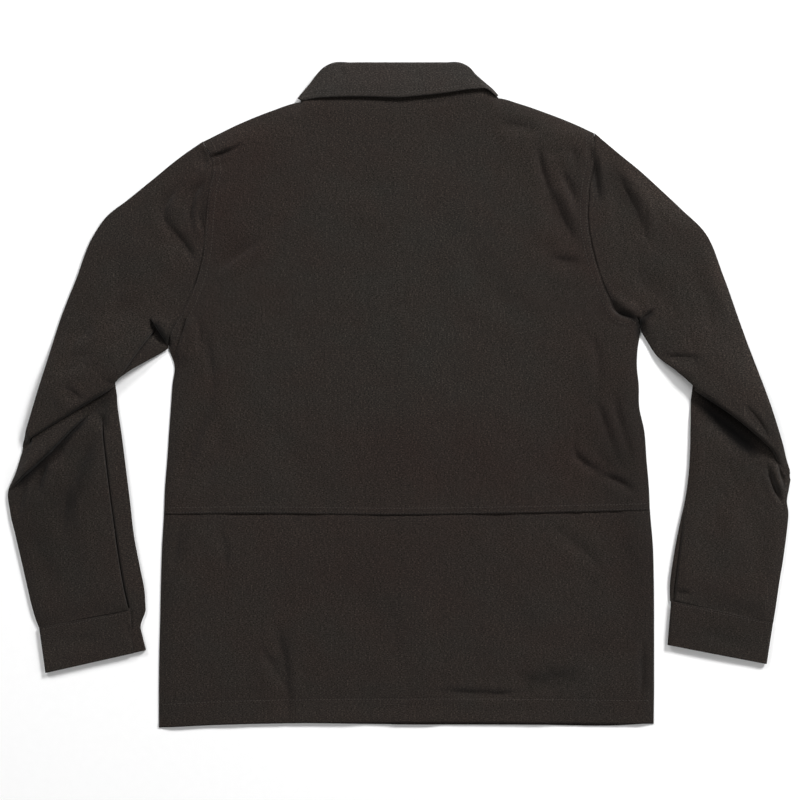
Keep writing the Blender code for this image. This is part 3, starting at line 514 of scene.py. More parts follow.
# The turned-down front ends of the collar: fold top, fold end, point, outer end
COLLAR_ENDS = {
    "left": ((-80, 362), (-9, 266), (-32, 216), (-91, 303)),
    "right": ((78, 360), (8, 266), (31, 216), (89, 304)),
}

# Folds. x, y of the start, middle and end; rise, below zero for a trough; half its breadth to the
# left and to the right of that line
BACK_FOLDS = (
    (-215.6, 258.8, -207.6, 264.2, -198.7, 271.1, -2.8, 4, 5),
    (-148, 183.5, -181, 163.8, -219.3, 134.3, -3, 6, 13),
    (-230.6, 97.5, -229.5, 70, -228.6, 43.9, -2.8, 3.6, 4),
    (-223.3, 87.1, -219, 50, -212.5, 8.1, -2.6, 4, 7),
    (110.6, 311, 140, 308, 164.3, 299.2, -2.4, 7, 9),
    (159.5, 295, 163.5, 263, 175.5, 230, -3.4, 4, 6),
    (166, 254, 182, 212, 208, 170, -3.9, 6, 12),
    (178, 262, 191, 226, 208, 190, 1.8, 5, 5),
    (184.9, 264.5, 194.9, 240.1, 206.4, 215.7, -2.6, 4.6, 7),
    (196.2, 288.9, 200.7, 274.6, 201.5, 258, -2.4, 4.6, 6),
    (217, 293, 219, 278, 218.5, 260, -3, 3.6, 3.6),
    (168.7, 160.3, 190.3, 155, 211.7, 152, -2.8, 6, 9),
    (240, 115, 250, 96.5, 274, 88.5, -3.4, 3.6, 4),
    (207.6, 72.2, 224.8, 54.9, 226, 6.6, -2.4, 5, 7),
    (195.5, -53.8, 211, -76.2, 237.2, -90.3, -3.5, 4, 6),
    (226.3, -97.2, 242.1, -93.4, 274.1, -113.9, -3.3, 4, 7),
    (221.4, 2.3, 237.5, -34.8, 249, -78.2, -3, 4.5, 7),
    (244.4, 10.6, 255.9, -39.4, 269.7, -87.4, -2.6, 5, 6),
    (-208, 24, -233, -50, -261, -122, -3.4, 6, 11),
    (-190, -22, -210, -72, -235, -124, -2.6, 6, 9),
    (-219, 66, -214, -10, -207, -92, -1.8, 9, 9),
    (-150, -10, -130, -60, -95, -98, -1.6, 18, 18),
    (60, 190, 110, 120, 175, 75, -1.6, 20, 18),
    (-120, 250, -60, 215, 10, 225, 1.3, 20, 22),
    (8.6, 335.2, 45.4, 336.7, 70.3, 344.7, -1, 2, 2.4),
)
LOWER_FOLDS = (
    (-247.8, -138, -255.9, -171.6, -262.9, -204.4, -3, 7, 7),
    (-208.7, -146.1, -201.8, -177.4, -196.1, -208.6, -2.5, 5, 6),
    (-146.3, -248.7, -131.5, -316.4, -128.3, -392.6, -3.6, 5, 9),
    (-157.8, -286.4, -143.2, -315.4, -130.8, -342.4, -2.9, 5, 6),
    (27.7, -336.4, 92.6, -341.8, 158.3, -340.4, -2.6, 4, 6),
    (118.3, -331, 160.8, -326.7, 216.8, -318.6, -2, 9, 13),
    (190, -300, 222, -294, 250, -280, -1.4, 9, 12),
    (277.6, -270.7, 278.9, -312.4, 277.6, -355.9, -3, 4.5, 4.5),
    (165.2, -146.1, 203, -172.8, 236, -208.6, -2, 8, 8),
    (-60, -200, -20, -262, 10, -330, -1.5, 20, 18),
    (120, -185, 140, -225, 190, -262, 1.3, 20, 18),
)
FRONT_FOLDS = (
    (-150, 240, -175, 170, -205, 120, 1.4, 12, 14),
    (60, 90, 110, 60, 170, 55, 1.2, 12, 15),
    (-120, -190, -135, -260, -128, -340, 1.5, 10, 12),
    (150, -220, 190, -270, 240, -300, 1.3, 12, 12),
)
LEFT_ARM_FOLDS = (
    (-228, 287, -225, 273, -220, 258, -4, 5, 7),
    (-216.9, 251.6, -238.5, 220.5, -233.5, 182.3, -4.4, 4, 8),
    (-248.9, 246.4, -271.1, 211.3, -256, 184.3, -4.4, 4.5, 7),
    (-270.2, 201.2, -247.8, 174.7, -229.9, 150.1, -4.2, 5, 13),
    (-254.7, 232.9, -259.2, 210.2, -248, 186.3, 1.8, 6, 6),
    (-224.8, 215.3, -227.8, 200.6, -220.2, 184.3, -4, 3.6, 4),
    (-268.5, 69.9, -259.3, 76.8, -247.3, 88, -2.4, 3.6, 4),
    (-286.5, 90, -275.5, 69, -265.5, 52, -4.4, 2.5, 8),
    (-383.5, 14.4, -376.6, 3, -361.4, -4.4, -3.2, 5, 7),
    (-330, 180, -322, 120, -345, 60, -2.2, 16, 12),
    (-345, 52, -372, 38, -392, 18, -2.8, 8, 10),
    (-300, 120, -318, 92, -342, 72, -2.2, 9, 10),
    (-352, 92, -362, 70, -384, 60, -2, 8, 9),
)
LEFT_FOREARM_FOLDS = (
    (-402.9, -68, -409.4, -88, -417.7, -118, -3.8, 4, 9),
    (-344.7, -36.5, -368.4, -82.6, -382.5, -118.6, -4.8, 8, 12),
    (-378.5, -98.6, -385.7, -133.7, -386.8, -168.5, -4.2, 8, 12),
    (-424, -92, -434, -118, -438, -148, -4, 6, 8),
    (-444, -114, -404, -74, -362, -32, -4.2, 5, 14),
    (-414, -80, -401, -71, -388, -60, -2.6, 4, 8),
    (-343, -17, -341, -30, -338, -46, -4.2, 5, 5),
    (-426, -150, -410, -190, -398, -232, -2.2, 12, 14),
    (-352, -120, -362, -165, -356, -215, 1.4, 14, 14),
)
RIGHT_ARM_FOLDS = (
    (240.8, 268.6, 262, 230, 287.8, 171, -4.2, 7, 17),
    (255, 264, 278, 230, 298, 182, 1.6, 8, 8),
    (225.5, 286, 226, 252, 231.5, 214, -4.2, 4, 5),
    (241, 116, 252.4, 95.5, 277.5, 86.5, -4.4, 5, 4),
    (246, 124, 259, 104, 282, 98, 2.2, 6, 5),
    (300.6, 48, 322.6, 42.3, 345.8, 45, -4, 5, 9),
    (274.5, 86.5, 284, 92.5, 296.4, 100, -4.4, 3.4, 3.6),
    (277, 91, 276.8, 80, 279.3, 66, -4.4, 5, 5),
    (392, -8, 409, -30, 424, -51, -4, 4, 6),
    (402, -52, 424, -66, 441, -80, 2.6, 6, 4),
    (255, 170, 290, 120, 330, 95, -2.2, 16, 14),
    (335, 150, 352, 105, 360, 62, -2, 11, 12),
)
RIGHT_FOREARM_FOLDS = (
    (414, -62, 434, -94, 445, -124, 4.2, 11, 12),
    (419.6, -70.6, 427.4, -99.2, 444.3, -130.3, -5.2, 4, 3.4),
    (434.3, -76, 438.7, -92.3, 444.3, -106.5, -5.2, 3.4, 3.4),
    (352, -18, 384, -46, 414, -78, -3.2, 14, 9),
    (313.5, -223.5, 323.7, -226.3, 337.6, -225.5, -2.2, 3.4, 8),
    (395, -120, 412, -165, 408, -215, -1.8, 15, 12),
    (372, -110, 380, -150, 366, -200, 1.4, 14, 14),
)
CUFF_FOLDS = (
    (-318, -262, -309, -270, -306, -288, -1.2, 4, 6),
    (-390, -275, -360, -280, -330, -270, -1, 6, 8),
    (-400, -300, -380, -296, -350, -297, 0.7, 8, 8),
    (340, -262, 375, -280, 405, -282, -1, 8, 8),
)
COLLAR_FOLDS = (
    (-70.7, 377.9, -66, 370, -63.8, 360, -1.2, 3, 4),
    (84, 370, 86, 361, 93, 354, -1, 3, 4),
    (18, 372, 22, 365, 21, 356, -0.7, 4, 4),
)

# Laps, where one layer ends on another. x, y of the start, middle and end; rise of the cloth to
# the left of that line; breadth of the step; how far the rise reaches; depth of the groove at its
# foot; fades at the two ends
BACK_LAPS = (
    (-243.5, 90.5, -251.3, 66.4, -258.5, 42, 2.4, 2.4, 26, 3.4, 5, 5),
    (-219.5, 275, -202.1, 280.5, -176, 293, 3.2, 4.2, 20, 3.4, 8, 22),
)
LEFT_ARM_LAPS = (
    (-326, 12.5, -306, 42, -279, 79, 2.4, 2.2, 34, 2.4, 3, 12),
    (-286, 89, -274, 71, -263, 54.5, 4, 2.8, 13, 4.2, 6, 2),
)
LEFT_FOREARM_LAPS = (
    (-327.2, -154.4, -334.5, -99, -343, -24.4, 1.6, 2, 40, 3.4, 1, 12),
    (-311.5, -244.5, -320.5, -200, -327.2, -154.4, 2, 2.2, 40, 4.4, 1, 1),
    (-451.4, -111.8, -402.6, -64.7, -351, -14.8, 6, 3.2, 22, 4, 3, 30),
)
RIGHT_ARM_LAPS = (
    (274.4, 91, 277.7, 79.1, 277, 69, 1, 2.6, 16, 4, 3, 2),
)
RIGHT_FOREARM_LAPS = (
    (328.9, -118, 319.8, -195.9, 315.2, -238.1, 1.8, 2.2, 40, 4, 30, 1),
)

# The folds and the laps on each part of a sleeve
SLEEVE_RELIEFS = {
    ("left", "upper"): (LEFT_ARM_FOLDS, LEFT_ARM_LAPS),
    ("left", "forearm"): (LEFT_FOREARM_FOLDS, LEFT_FOREARM_LAPS),
    ("right", "upper"): (RIGHT_ARM_FOLDS, RIGHT_ARM_LAPS),
    ("right", "forearm"): (RIGHT_FOREARM_FOLDS, RIGHT_FOREARM_LAPS),
}

# Where small creases gather: x, y; reach along X and along Y; depth
CRUMPLES = (
    (-205, 272, 28, 24, 0.9),
    (185, 240, 34, 60, 0.8),
    (-245, 60, 24, 34, 0.8),
    (230, -60, 40, 50, 1),
    (-240, -90, 26, 50, 0.7),
    (248, 80, 30, 34, 0.8),
    (-140, -320, 30, 50, 0.8),
    (150, -328, 80, 22, 0.8),
    (-245, 200, 24, 50, 0.7),
    (-350, 60, 50, 60, 0.9),
    (-400, -100, 44, 50, 0.9),
    (270, 200, 34, 60, 0.6),
    (320, 70, 60, 40, 0.6),
    (400, -80, 40, 50, 0.8),
    (0, 0, 420, 420, 0.16),
)

# Soft patches of colour: x, y; reach along X and along Y; redness, the mottling of the dyeing; darkness, a
# slight mottling where it is small and painted shade in the folds and hollows where it is strong, and below
# zero a painted highlight on the edges that face the light
DYE_AND_PAINTED_SHADE_PATCHES = (
    (-185, 262, 60, 42, 1.2, 0),
    (-195, 190, 42, 48, 1.3, 0.06),
    (188, 200, 34, 56, 0.8, 0.03),
    (0, -235, 260, 120, 0.3, 0.03),
    (-225, 60, 30, 70, 0.5, 0.05),
    (-20, -70, 70, 36, 1, 0.04),
    (120, -75, 110, 50, 1.3, 0.03),
    (235, -20, 45, 90, 0.6, 0.14),
    (252, -75, 26, 40, -0.3, 0.14),
    (215, 120, 40, 60, 0.6, 0.02),
    (270, -190, 36, 90, 0.5, 0.12),
    (-60, 285, 90, 30, 0.3, -0.03),
    (-90, -200, 90, 50, 0.5, 0),
    (30, -180, 120, 40, 0.6, 0.04),
    (225, -292, 34, 24, -0.2, 0.1),
    (275, -60, 26, 110, 0, 0.16),
    (365, -275, 62, 28, -0.2, 0.14),
    (-245, -60, 24, 80, 0.2, -0.05),
    (20, 110, 130, 130, -0.6, 0),
    (-405, -140, 46, 62, -0.2, 0.24),
    (-372, -84, 20, 44, -0.2, 0.14),
    (-337, -12, 10, 15, -0.3, 0.45),
    (390, -220, 50, 60, 0.1, 0.05),
    (395, -80, 30, 30, -0.1, 0.14),
    (-112, 344, 16, 14, 0, -0.22),
    (100, 352, 18, 14, 0, -0.18),
    (-165, 305, 50, 9, 0.2, -0.14),
    (180, 305, 50, 9, 0, -0.14),
    (310, 230, 34, 20, 0, -0.16),
    (372, 150, 16, 50, 0, -0.16),
    (408, 50, 14, 50, 0, -0.16),
    (-410, -300, 40, 18, 0.1, -0.10),
)

# Painted shade along the creases and under the folds, and painted highlight where the darkness is below
# zero: x, y of the start and the end; half the breadth; darkness
PAINTED_LIGHT_AND_SHADE_LINES = (
    (-283, 86, -265, 58, 5, 1.8),
    (-216, 276, -192, 284, 4, 0.3),
    (-225, 250, -222, 200, 6, 0.3),
    (-262, 222, -226, 168, 9, 0.16),
    (-330, 9, -428, -57, 4, 0.9),
    (-355, -22, -402, -68, 3.6, 0.8),
    (-385, -52, -444, -108, 4.2, 1.2),
    (-402, -70, -416, -112, 4.5, 0.5),
    (-345, -40, -386, -152, 8, 0.34),
    (-206, -2, -258, -84, 9, 0.16),
    (-234, -140, -258, -194, 10, 0.15),
    (-204, -178, -194, -214, 6, 0.12),
    (-133, -256, -125, -330, 7, 0.2),
    (158, 282, 173, 234, 7, 0.14),
    (168, 246, 205, 176, 10, 0.2),
    (195, 278, 207, 222, 6, 0.14),
    (222, 288, 230, 216, 5, 0.5),
    (236, 270, 284, 176, 12, 0.2),
    (165, 160, 215, 152, 8, 0.12),
    (232, 134, 250, 96, 3, 0.5),
    (248, 98, 277, 86, 3.4, 1.4),
    (275, 84, 293, 98, 3, 1.2),
    (276.5, 92, 276.5, 66, 4, 1.6),
    (337, 4, 416, -74, 7.5, 2.6),
    (222, -10, 258, -90, 12, 0.14),
    (132, -328, 214, -319, 11, 0.26),
    (46, -337, 136, -340, 4, 0.12),
    (279, -286, 284, -346, 6, 0.3),
    (203, -182, 233, -222, 4, 0.16),
    (254, -158, 280, -204, 5, 0.14),
    (-262, -364, 280, -364, 13, -0.12),
    (232, 280, 352, 182, 12, -0.18),
    (352, 186, 405, 40, 11, -0.16),
    (285, -110, 285, -420, 11, 0.17),
)

# What a full redness adds to red, green and blue, and the share of a painted line of light or shade over
# which its ends fade
REDNESS = (0.02, -0.085, -0.09)
PAINTED_LINE_FADE = 0.28


# Shapes of curves


def smooth(value):
    """0 below 0, 1 above 1, and an even slope between."""
    t = np.clip(value, 0.0, 1.0)
    return t * t * (3.0 - 2.0 * t)


def rolled(value):
    """A cloth's rolled edge: steep at 0, level from 1 on, sloping more evenly than an ellipse."""
    return 0.4 * rounded(value) + 0.6 * np.sin(math.pi / 2.0 * np.clip(value, 0.0, 1.0))


def rounded(value):
    """A quarter of an ellipse: 0 at 0, 1 from 1 on."""
    t = np.clip(value, 0.0, 1.0)
    return np.sqrt(1.0 - (1.0 - t) ** 2)


def bell(distance, width):
    return np.exp(-((distance / width) ** 2))


def patch(x, y, middle_x, middle_y, reach_x, reach_y):
    """1 at the middle of a soft patch, fading to nothing round it."""
    return np.exp(-(((x - middle_x) / reach_x) ** 2) - ((y - middle_y) / reach_y) ** 2)


def unit(vector):
    return vector / math.hypot(*vector)


def column(table, *numbers):
    return np.array([[row[number] for number in numbers] for row in table], float).squeeze()


def curve(places, values, at):
    """A smooth curve through a table's values, read at any places along it."""
    places = np.asarray(places, float)
    values = np.asarray(values, float)
    slopes = np.gradient(values, places, axis=0)
    at = np.clip(at, places[0], places[-1])
    k = np.clip(np.searchsorted(places, at, side="right") - 1, 0, len(places) - 2)
    width = places[k + 1] - places[k]
    t = (at - places[k]) / width
    if values.ndim > 1:
        width = width[:, None]
        t = t[:, None]
    start = (1.0 + 2.0 * t) * (1.0 - t) ** 2 * values[k] + t * (1.0 - t) ** 2 * width * slopes[k]
    return start + t * t * (3.0 - 2.0 * t) * values[k + 1] + t * t * (t - 1.0) * width * slopes[k + 1]


def read(table, x, number=1):
    """A table's numbered column at any place along its first one, as a smooth curve."""
    return curve(column(table, 0), column(table, number), x)


def along(points, steps):
    """Points at the given fractions of a smooth line's length."""
    points = np.asarray(points, float)
    lengths = np.hypot(*np.diff(points, axis=0).T)
    reached = np.concatenate([[0.0], np.cumsum(lengths)]) / lengths.sum()
    return curve(reached, points, np.asarray(steps, float))


def bent_line(row, count=13):
    """Points on the bent line through a row's start, middle and end."""
    start, middle, end = np.reshape(row[:6], (3, 2))
    t = np.linspace(0.0, 1.0, count)[:, None]
    pull = 2.0 * middle - (start + end) / 2.0
    return (1.0 - t) ** 2 * start + 2.0 * t * (1.0 - t) * pull + t * t * end


def beside(line, x, y):
    """Each place's distance from a line, how far along it is, the line's length, and which way is left.

    The distance is positive to the line's left. How far along is below zero before the line's start,
    and above its length past its end. Left is a direction square to the line, as its x and its y.
    """
    nearest = np.full(x.shape, np.inf)
    side = np.ones(x.shape)
    reached = np.zeros(x.shape)
    leftward = np.zeros((2, *x.shape))
    done = 0.0
    for number, (start, end) in enumerate(zip(line[:-1], line[1:])):
        run = end - start
        length = math.hypot(*run)
        ahead = ((x - start[0]) * run[0] + (y - start[1]) * run[1]) / length
        across = ((y - start[1]) * run[0] - (x - start[0]) * run[1]) / length
        held = np.clip(ahead, 0.0, length)
        away = np.hypot(across, ahead - held)
        nearer = away < nearest
        nearest = np.where(nearer, away, nearest)
        side = np.where(nearer, np.where(across >= 0.0, 1.0, -1.0), side)
        first = -np.inf if number == 0 else 0.0
        last = np.inf if number == len(line) - 2 else length
        reached = np.where(nearer, done + np.clip(ahead, first, last), reached)
        for k, part in enumerate((-run[1] / length, run[0] / length)):
            leftward[k] = np.where(nearer, part, leftward[k])
        done += length
    return nearest * side, reached, done, leftward


def near_line(line, x, y, reach):
    """Which places lie within reach of a line's box."""
    low = line.min(axis=0) - reach
    high = line.max(axis=0) + reach
    return (x > low[0]) & (x < high[0]) & (y > low[1]) & (y < high[1])


def folds(table, x, y):
    """What a table of folds adds at each place: along X, along Y and in height.

    A trough has a low lip along each side, and draws the cloth a little towards its bottom.
    """
    moved = np.zeros((3, *x.shape))
    for row in table:
        rise, left, right = row[6:]
        line = bent_line(row)
        near = near_line(line, x, y, FOLD_REACH * max(left, right))
        away, reached, length, leftward = beside(line, x[near], y[near])
        wandering = undulation(x[near], y[near], *FOLD_WANDER)
        away = away + FOLD_WANDER_SHARE * min(left + right, FOLD_WANDER_BREADTH) * wandering
        fade = FOLD_FADE * length
        ends = smooth(reached / fade) * smooth((length - reached) / fade)
        width = np.where(away > 0.0, left, right) * (0.6 + 0.4 * ends)
        ends = ends * (1.0 + 0.25 * wandering)
        shape = bell(away, width)
        if rise < 0.0:
            shape = shape - FOLD_LIP * bell(np.abs(away) - 2.1 * width, 1.1 * width)
        moved[2][near] += rise * shape * ends
        gather = FOLD_GATHER * np.clip(-rise / FOLD_DEEP, 0.0, 1.0)
        drawn = gather * away * bell(away, FOLD_GATHER_REACH * np.minimum(width, FOLD_GATHER_WIDTH)) * ends
        moved[0][near] -= drawn * leftward[0]
        moved[1][near] -= drawn * leftward[1]
    return moved


def laps(table, x, y):
    """What a table of laps adds at each place: along X, along Y and in height.

    The upper layer's edge stands out over the groove, and the lower one runs on beneath it.
    """
    moved = np.zeros((3, *x.shape))
    for row in table:
        rise, edge, reach, groove, start_fade, end_fade = row[6:]
        line = bent_line(row)
        near = near_line(line, x, y, LAP_REACH * reach)
        away, reached, length, leftward = beside(line, x[near], y[near])
        far = np.abs(away)
        ends = smooth((reached + 0.5 * far) / (start_fade + far))
        ends *= smooth((length - reached + 0.5 * far) / (end_fade + far))
        out = bell(away + LAP_EDGE_PLACE * edge, edge) - bell(away - LAP_EDGE_PLACE * edge, edge)
        shift = LAP_OVERHANG * edge * out * ends
        moved[0][near] += shift * leftward[0]
        moved[1][near] += shift * leftward[1]
        raised = rise * smooth(away / edge + 0.5) * bell(np.maximum(away, 0.0), reach)
        sunk = groove * bell(away + 0.5 * edge, LAP_GROOVE_WIDTH * edge)
        moved[2][near] += (raised - sunk) * ends
    return moved


def undulation(x, y, size, seed, count=14):
    """A gentle waviness of about that size from crest to crest, between -1 and 1."""
    draw = np.random.RandomState(seed)
    total = np.zeros(np.shape(x))
    for _ in range(count):
        turn = draw.uniform(0.0, 2.0 * math.pi)
        reach = size * draw.uniform(0.7, 1.6)
        phase = draw.uniform(0.0, 2.0 * math.pi)
        total += np.sin((x * math.cos(turn) + y * math.sin(turn)) * 2.0 * math.pi / reach + phase)
    return total / math.sqrt(2.0 * count)


def waviness(x, y, seed):
    """Laid cloth is nowhere quite flat: broad, middling and small unevenness."""
    return sum(rise * undulation(x, y, size, seed + k) for k, (rise, size) in enumerate(WAVES))


def crumpled(x, y, seed):
    """Small creases, where a table of zones gathers them: thin troughs that wander and branch."""
    depth = np.zeros(np.shape(x))
    for *zone, amount in CRUMPLES:
        depth += amount * patch(x, y, *zone)
    long_ones, short_ones = (
        bell(undulation(run_x * x, run_y * y, size, seed + k, CREASE_WAVES), sharpness)
        for k, (run_x, run_y, size, sharpness) in enumerate(CREASES)
    )
    return -depth * (long_ones + 0.5 * short_ones)


# Places of the cut


def armhole(side, steps, distance=0.0):
    """Places on an armhole seam, from shoulder to armpit, moved square to it towards the body."""
    table = np.asarray(ARMHOLES, float)
    points = table[:, :2] if side == "left" else table[:, 2:]
    steps = np.asarray(steps, float)
    run = along(points, np.minimum(steps + 0.01, 1.0)) - along(points, np.maximum(steps - 0.01, 0.0))
    run /= np.hypot(*run.T)[:, None]
    square = -OUTWARD[side] * np.column_stack([-run[:, 1], run[:, 0]])
    return along(points, steps) + np.reshape(distance, (-1, 1)) * square


def side_x(side, y):
    return curve(-column(SIDES, 0), column(SIDES, 1 if side == "left" else 2), -np.asarray(y, float))


def placket_x(y):
    return np.interp(y, (HEMS[0][1], NECKLINE_BOTTOM_Y), (PLACKET_HEM_X, PLACKET_TOP_X))


def button_places():
    """The middles of the front buttons, from the neck down."""
    for number in range(BUTTON_COUNT):
        y = BUTTON_TOP_Y - number * BUTTON_PITCH
        yield number + 1, float(placket_x(y)), y


def front_base(x, y):
    """The height of the outermost front's underside: over the buttons and the collar's ends."""
    lift = np.zeros(np.shape(x))
    for _, button_x, button_y in button_places():
        near_x = smooth((BUMP_REACH - np.abs(x - button_x)) / BUMP_SLOPE)
        near_y = smooth((BUMP_REACH - np.abs(y - button_y)) / BUMP_SLOPE)
        lift = np.maximum(lift, BUTTON_LIFT * near_x * near_y)
    start = np.array(LEAF_LINE_TOP)
    run = np.array([0.0, NECKLINE_BOTTOM_Y]) - start
    share = np.clip(((np.abs(x) - start[0]) * run[0] + (y - start[1]) * run[1]) / (run @ run), 0, 1)
    away = np.hypot(np.abs(x) - start[0] - share * run[0], y - start[1] - share * run[1])
    shoulder = start[1] - SHOULDER_SLOPE * np.maximum(np.abs(x) - start[0], 0.0)
    below_shoulder = smooth((shoulder - y - SHOULDER_CLEARANCE) / SHOULDER_FADE)
    return np.maximum(lift, LEAF_LIFT * smooth((LEAF_REACH - away) / LEAF_SLOPE) * below_shoulder)


def lap_step(x, y):
    return LAP_STEP * smooth((LAP_STEP_REACH - np.abs(x - placket_x(y))) / LAP_STEP_SLOPE)


# Meshes


def new_mesh(name, places, faces, cloth):
    """A mesh from places in millimetres, and each vertex's place on the flat cloth.

    The weave follows that map, which is in metres.
    """
    mesh = bpy.data.meshes.new(name)
    mesh.from_pydata((places * MM).tolist(), [], faces)
    write_cloth(mesh, cloth)
    return mesh


def write_cloth(mesh, cloth):
    layer = mesh.uv_layers.new(name="cloth")
    at = np.empty(len(mesh.loops), np.int32)
    mesh.loops.foreach_get("vertex_index", at)
    layer.data.foreach_set("uv", (cloth[at] * MM).ravel())


def write_dye_and_painted_shade(mesh):
    """Stores at each vertex what multiplies the cloth's colour: the patches' mottling of the dyeing with
    their painted shade and painted highlights, and the painted shade and painted highlights along the
    creases.
    """
    places = np.empty(3 * len(mesh.vertices))
    mesh.vertices.foreach_get("co", places)
    x, y = places.reshape(-1, 3).T[:2] / MM
    turned = np.zeros((len(x), 3))
    for *zone, redness, darkness in DYE_AND_PAINTED_SHADE_PATCHES:
        turned += patch(x, y, *zone)[:, None] * (redness * np.array(REDNESS) - darkness)
    # Painted shade along the creases and folds, and painted highlight where the darkness is below zero
    for *ends, breadth, darkness in PAINTED_LIGHT_AND_SHADE_LINES:
        away, reached, length, _ = beside(np.reshape(ends, (2, 2)), x, y)
        fade = PAINTED_LINE_FADE * length
        share = bell(away, breadth) * smooth(reached / fade) * smooth((length - reached) / fade)
        turned -= darkness * share[:, None]
    colours = np.column_stack([np.exp(turned), np.ones(len(x))])
    mesh.attributes.new("dye", "FLOAT_COLOR", "POINT").data.foreach_set("color", colours.ravel())


def place_piece(name, mesh):
    piece = bpy.data.objects.new(name, mesh)
    bpy.context.scene.collection.objects.link(piece)
    return piece


def add_piece(name, mesh, finish):
    mesh.materials.append(finish)
    mesh.shade_smooth()
    return place_piece(name, mesh)


def add_panel(name, points, wall, finish, offset=-1.0, in_plan=False):
    """A panel of cloth: its grid of places on the upper side, and its wall.

    The weave follows the cloth's own lengths, or for a strongly bent grid its plan.
    """
    rows, columns = points.shape[:2]
    if in_plan:
        cloth = np.stack([points[..., 0], points[..., 1] + points[..., 2]], axis=-1)
    else:
        across = np.hypot(*np.moveaxis(np.diff(points[..., :2], axis=1), -1, 0))
        down = np.hypot(*np.moveaxis(np.diff(points[..., :2], axis=0), -1, 0))
        u = np.concatenate([np.zeros((rows, 1)), np.cumsum(across, axis=1)], axis=1)
        v = np.concatenate([np.zeros((1, columns)), np.cumsum(down, axis=0)], axis=0)
        cloth = np.stack([u + points[:, :1, 0], -v], axis=-1)
    index = np.arange(rows * columns).reshape(rows, columns)
    faces = np.stack([index[1:, :-1], index[1:, 1:], index[:-1, 1:], index[:-1, :-1]], axis=-1)
    mesh = new_mesh(name, points.reshape(-1, 3), faces.reshape(-1, 4).tolist(), cloth.reshape(-1, 2))
    write_dye_and_painted_shade(mesh)
    piece = add_piece(name, mesh, finish)
    skin = piece.modifiers.new("Wall", "SOLIDIFY")
    skin.thickness = wall * MM
    skin.offset = offset
    return piece


def panel_grid(left, right, top, bottom, across):
    """Places on a panel between its left and right ends, bent to its top and bottom edges."""
    rows = len(left)
    reach_left = (left[:, 1] - left[-1, 1]) / (left[0, 1] - left[-1, 1])
    reach_right = (right[:, 1] - right[-1, 1]) / (right[0, 1] - right[-1, 1])
    points = np.zeros((rows, len(across), 3))
    for k, u in enumerate(across):
        line = left + u * (right - left)
        reach = reach_left + u * (reach_right - reach_left)
        bend_top = top[k] - line[0]
        bend_bottom = bottom[k] - line[-1]
        points[:, k, :2] = line + np.outer(reach, bend_top) + np.outer(1.0 - reach, bend_bottom)
    return points


def even_places(length, pitch, places=EDGE_PLACES):
    """Fractions along a length: the given places at both ends, even between them."""
    near = np.array(places) / length
    count = int((1.0 - 2.0 * near[-1]) * length / pitch) + 2
    middle = np.linspace(near[-1], 1.0 - near[-1], count)[1:-1]
    return np.concatenate([near, middle, 1.0 - near[::-1]])


def across_x(left, right, row, across):
    """X at the given shares across one row of a panel."""
    return left[row, 0] + across * (right[row, 0] - left[row, 0])


# The back

ARMHOLE_STEPS = even_places(ARMHOLE_LENGTH, PANEL_PITCH, ARMHOLE_PLACES)


def sewn_band(distance, rows, rise=SEAM_RISE, roll=SEAM_ROLL):
    """The relief of a lapped seam: its edge rolls, the cloth between the stitches is raised."""
    total = -roll * bell(distance, SEAM_ROLL_WIDTH)
    total = total + rise * smooth((rows[-1] + SEAM_PAST_ROWS - distance) / SEAM_SLOPE)
    for row in rows:
        total = total - STITCH_GROOVE * bell(distance - row, STITCH_GROOVE_WIDTH)
    return total


def puckers(reached, distance, seed):
    """Short waves that sewing draws into the cloth beside a seam."""
    waves = undulation(reached, reached * 0.0, PUCKER_LENGTH, seed, PUCKER_WAVES)
    return PUCKER_RISE * waves * bell(distance, PUCKER_BREADTH)


def back_height(x, y, relief, seed):
    """The back's height away from its edges, never lower than the fronts beneath allow."""
    middle = smooth((PLACKET_RISE_REACH - np.abs(x - placket_x(y))) / PLACKET_RISE_SLOPE)
    height = BACK_HEIGHT + BACK_OVER_PLACKET * middle + relief
    height = height + waviness(x, y, seed) + crumpled(x, y, seed + CRUMPLE_SEED)
    fronts = front_base(x, y) + FRONT_WALL + lap_step(x, y)
    return np.maximum(height, fronts + BACK_WALL + LAYER_GAP)


def shift_inside(points, shift, distances):
    """Moves a panel's places in plan, but for those near its edges, which the seams hold."""
    inside = np.minimum.reduce(distances)
    points[..., :2] += np.moveaxis(shift * smooth(inside / HELD_EDGE), 0, -1)


def upper_end(side):
    """An end of the upper back: down its armhole, then down its side seam to the waist."""
    scye = armhole(side, ARMHOLE_STEPS, SEAM_GAP / 2)
    waist = WAIST[0 if side == "left" else -1]
    y = np.linspace(scye[-1, 1], waist[1], UPPER_SIDE_ROWS + 1)[1:]
    seam = np.column_stack([side_x(side, y), y])
    step = scye[-1, 0] - side_x(side, scye[-1:, 1])[0]
    seam[:, 0] += step * (1.0 - smooth((scye[-1, 1] - y) / ARMPIT_FADE))
    seam[-1] = waist
    return np.vstack([scye, seam])


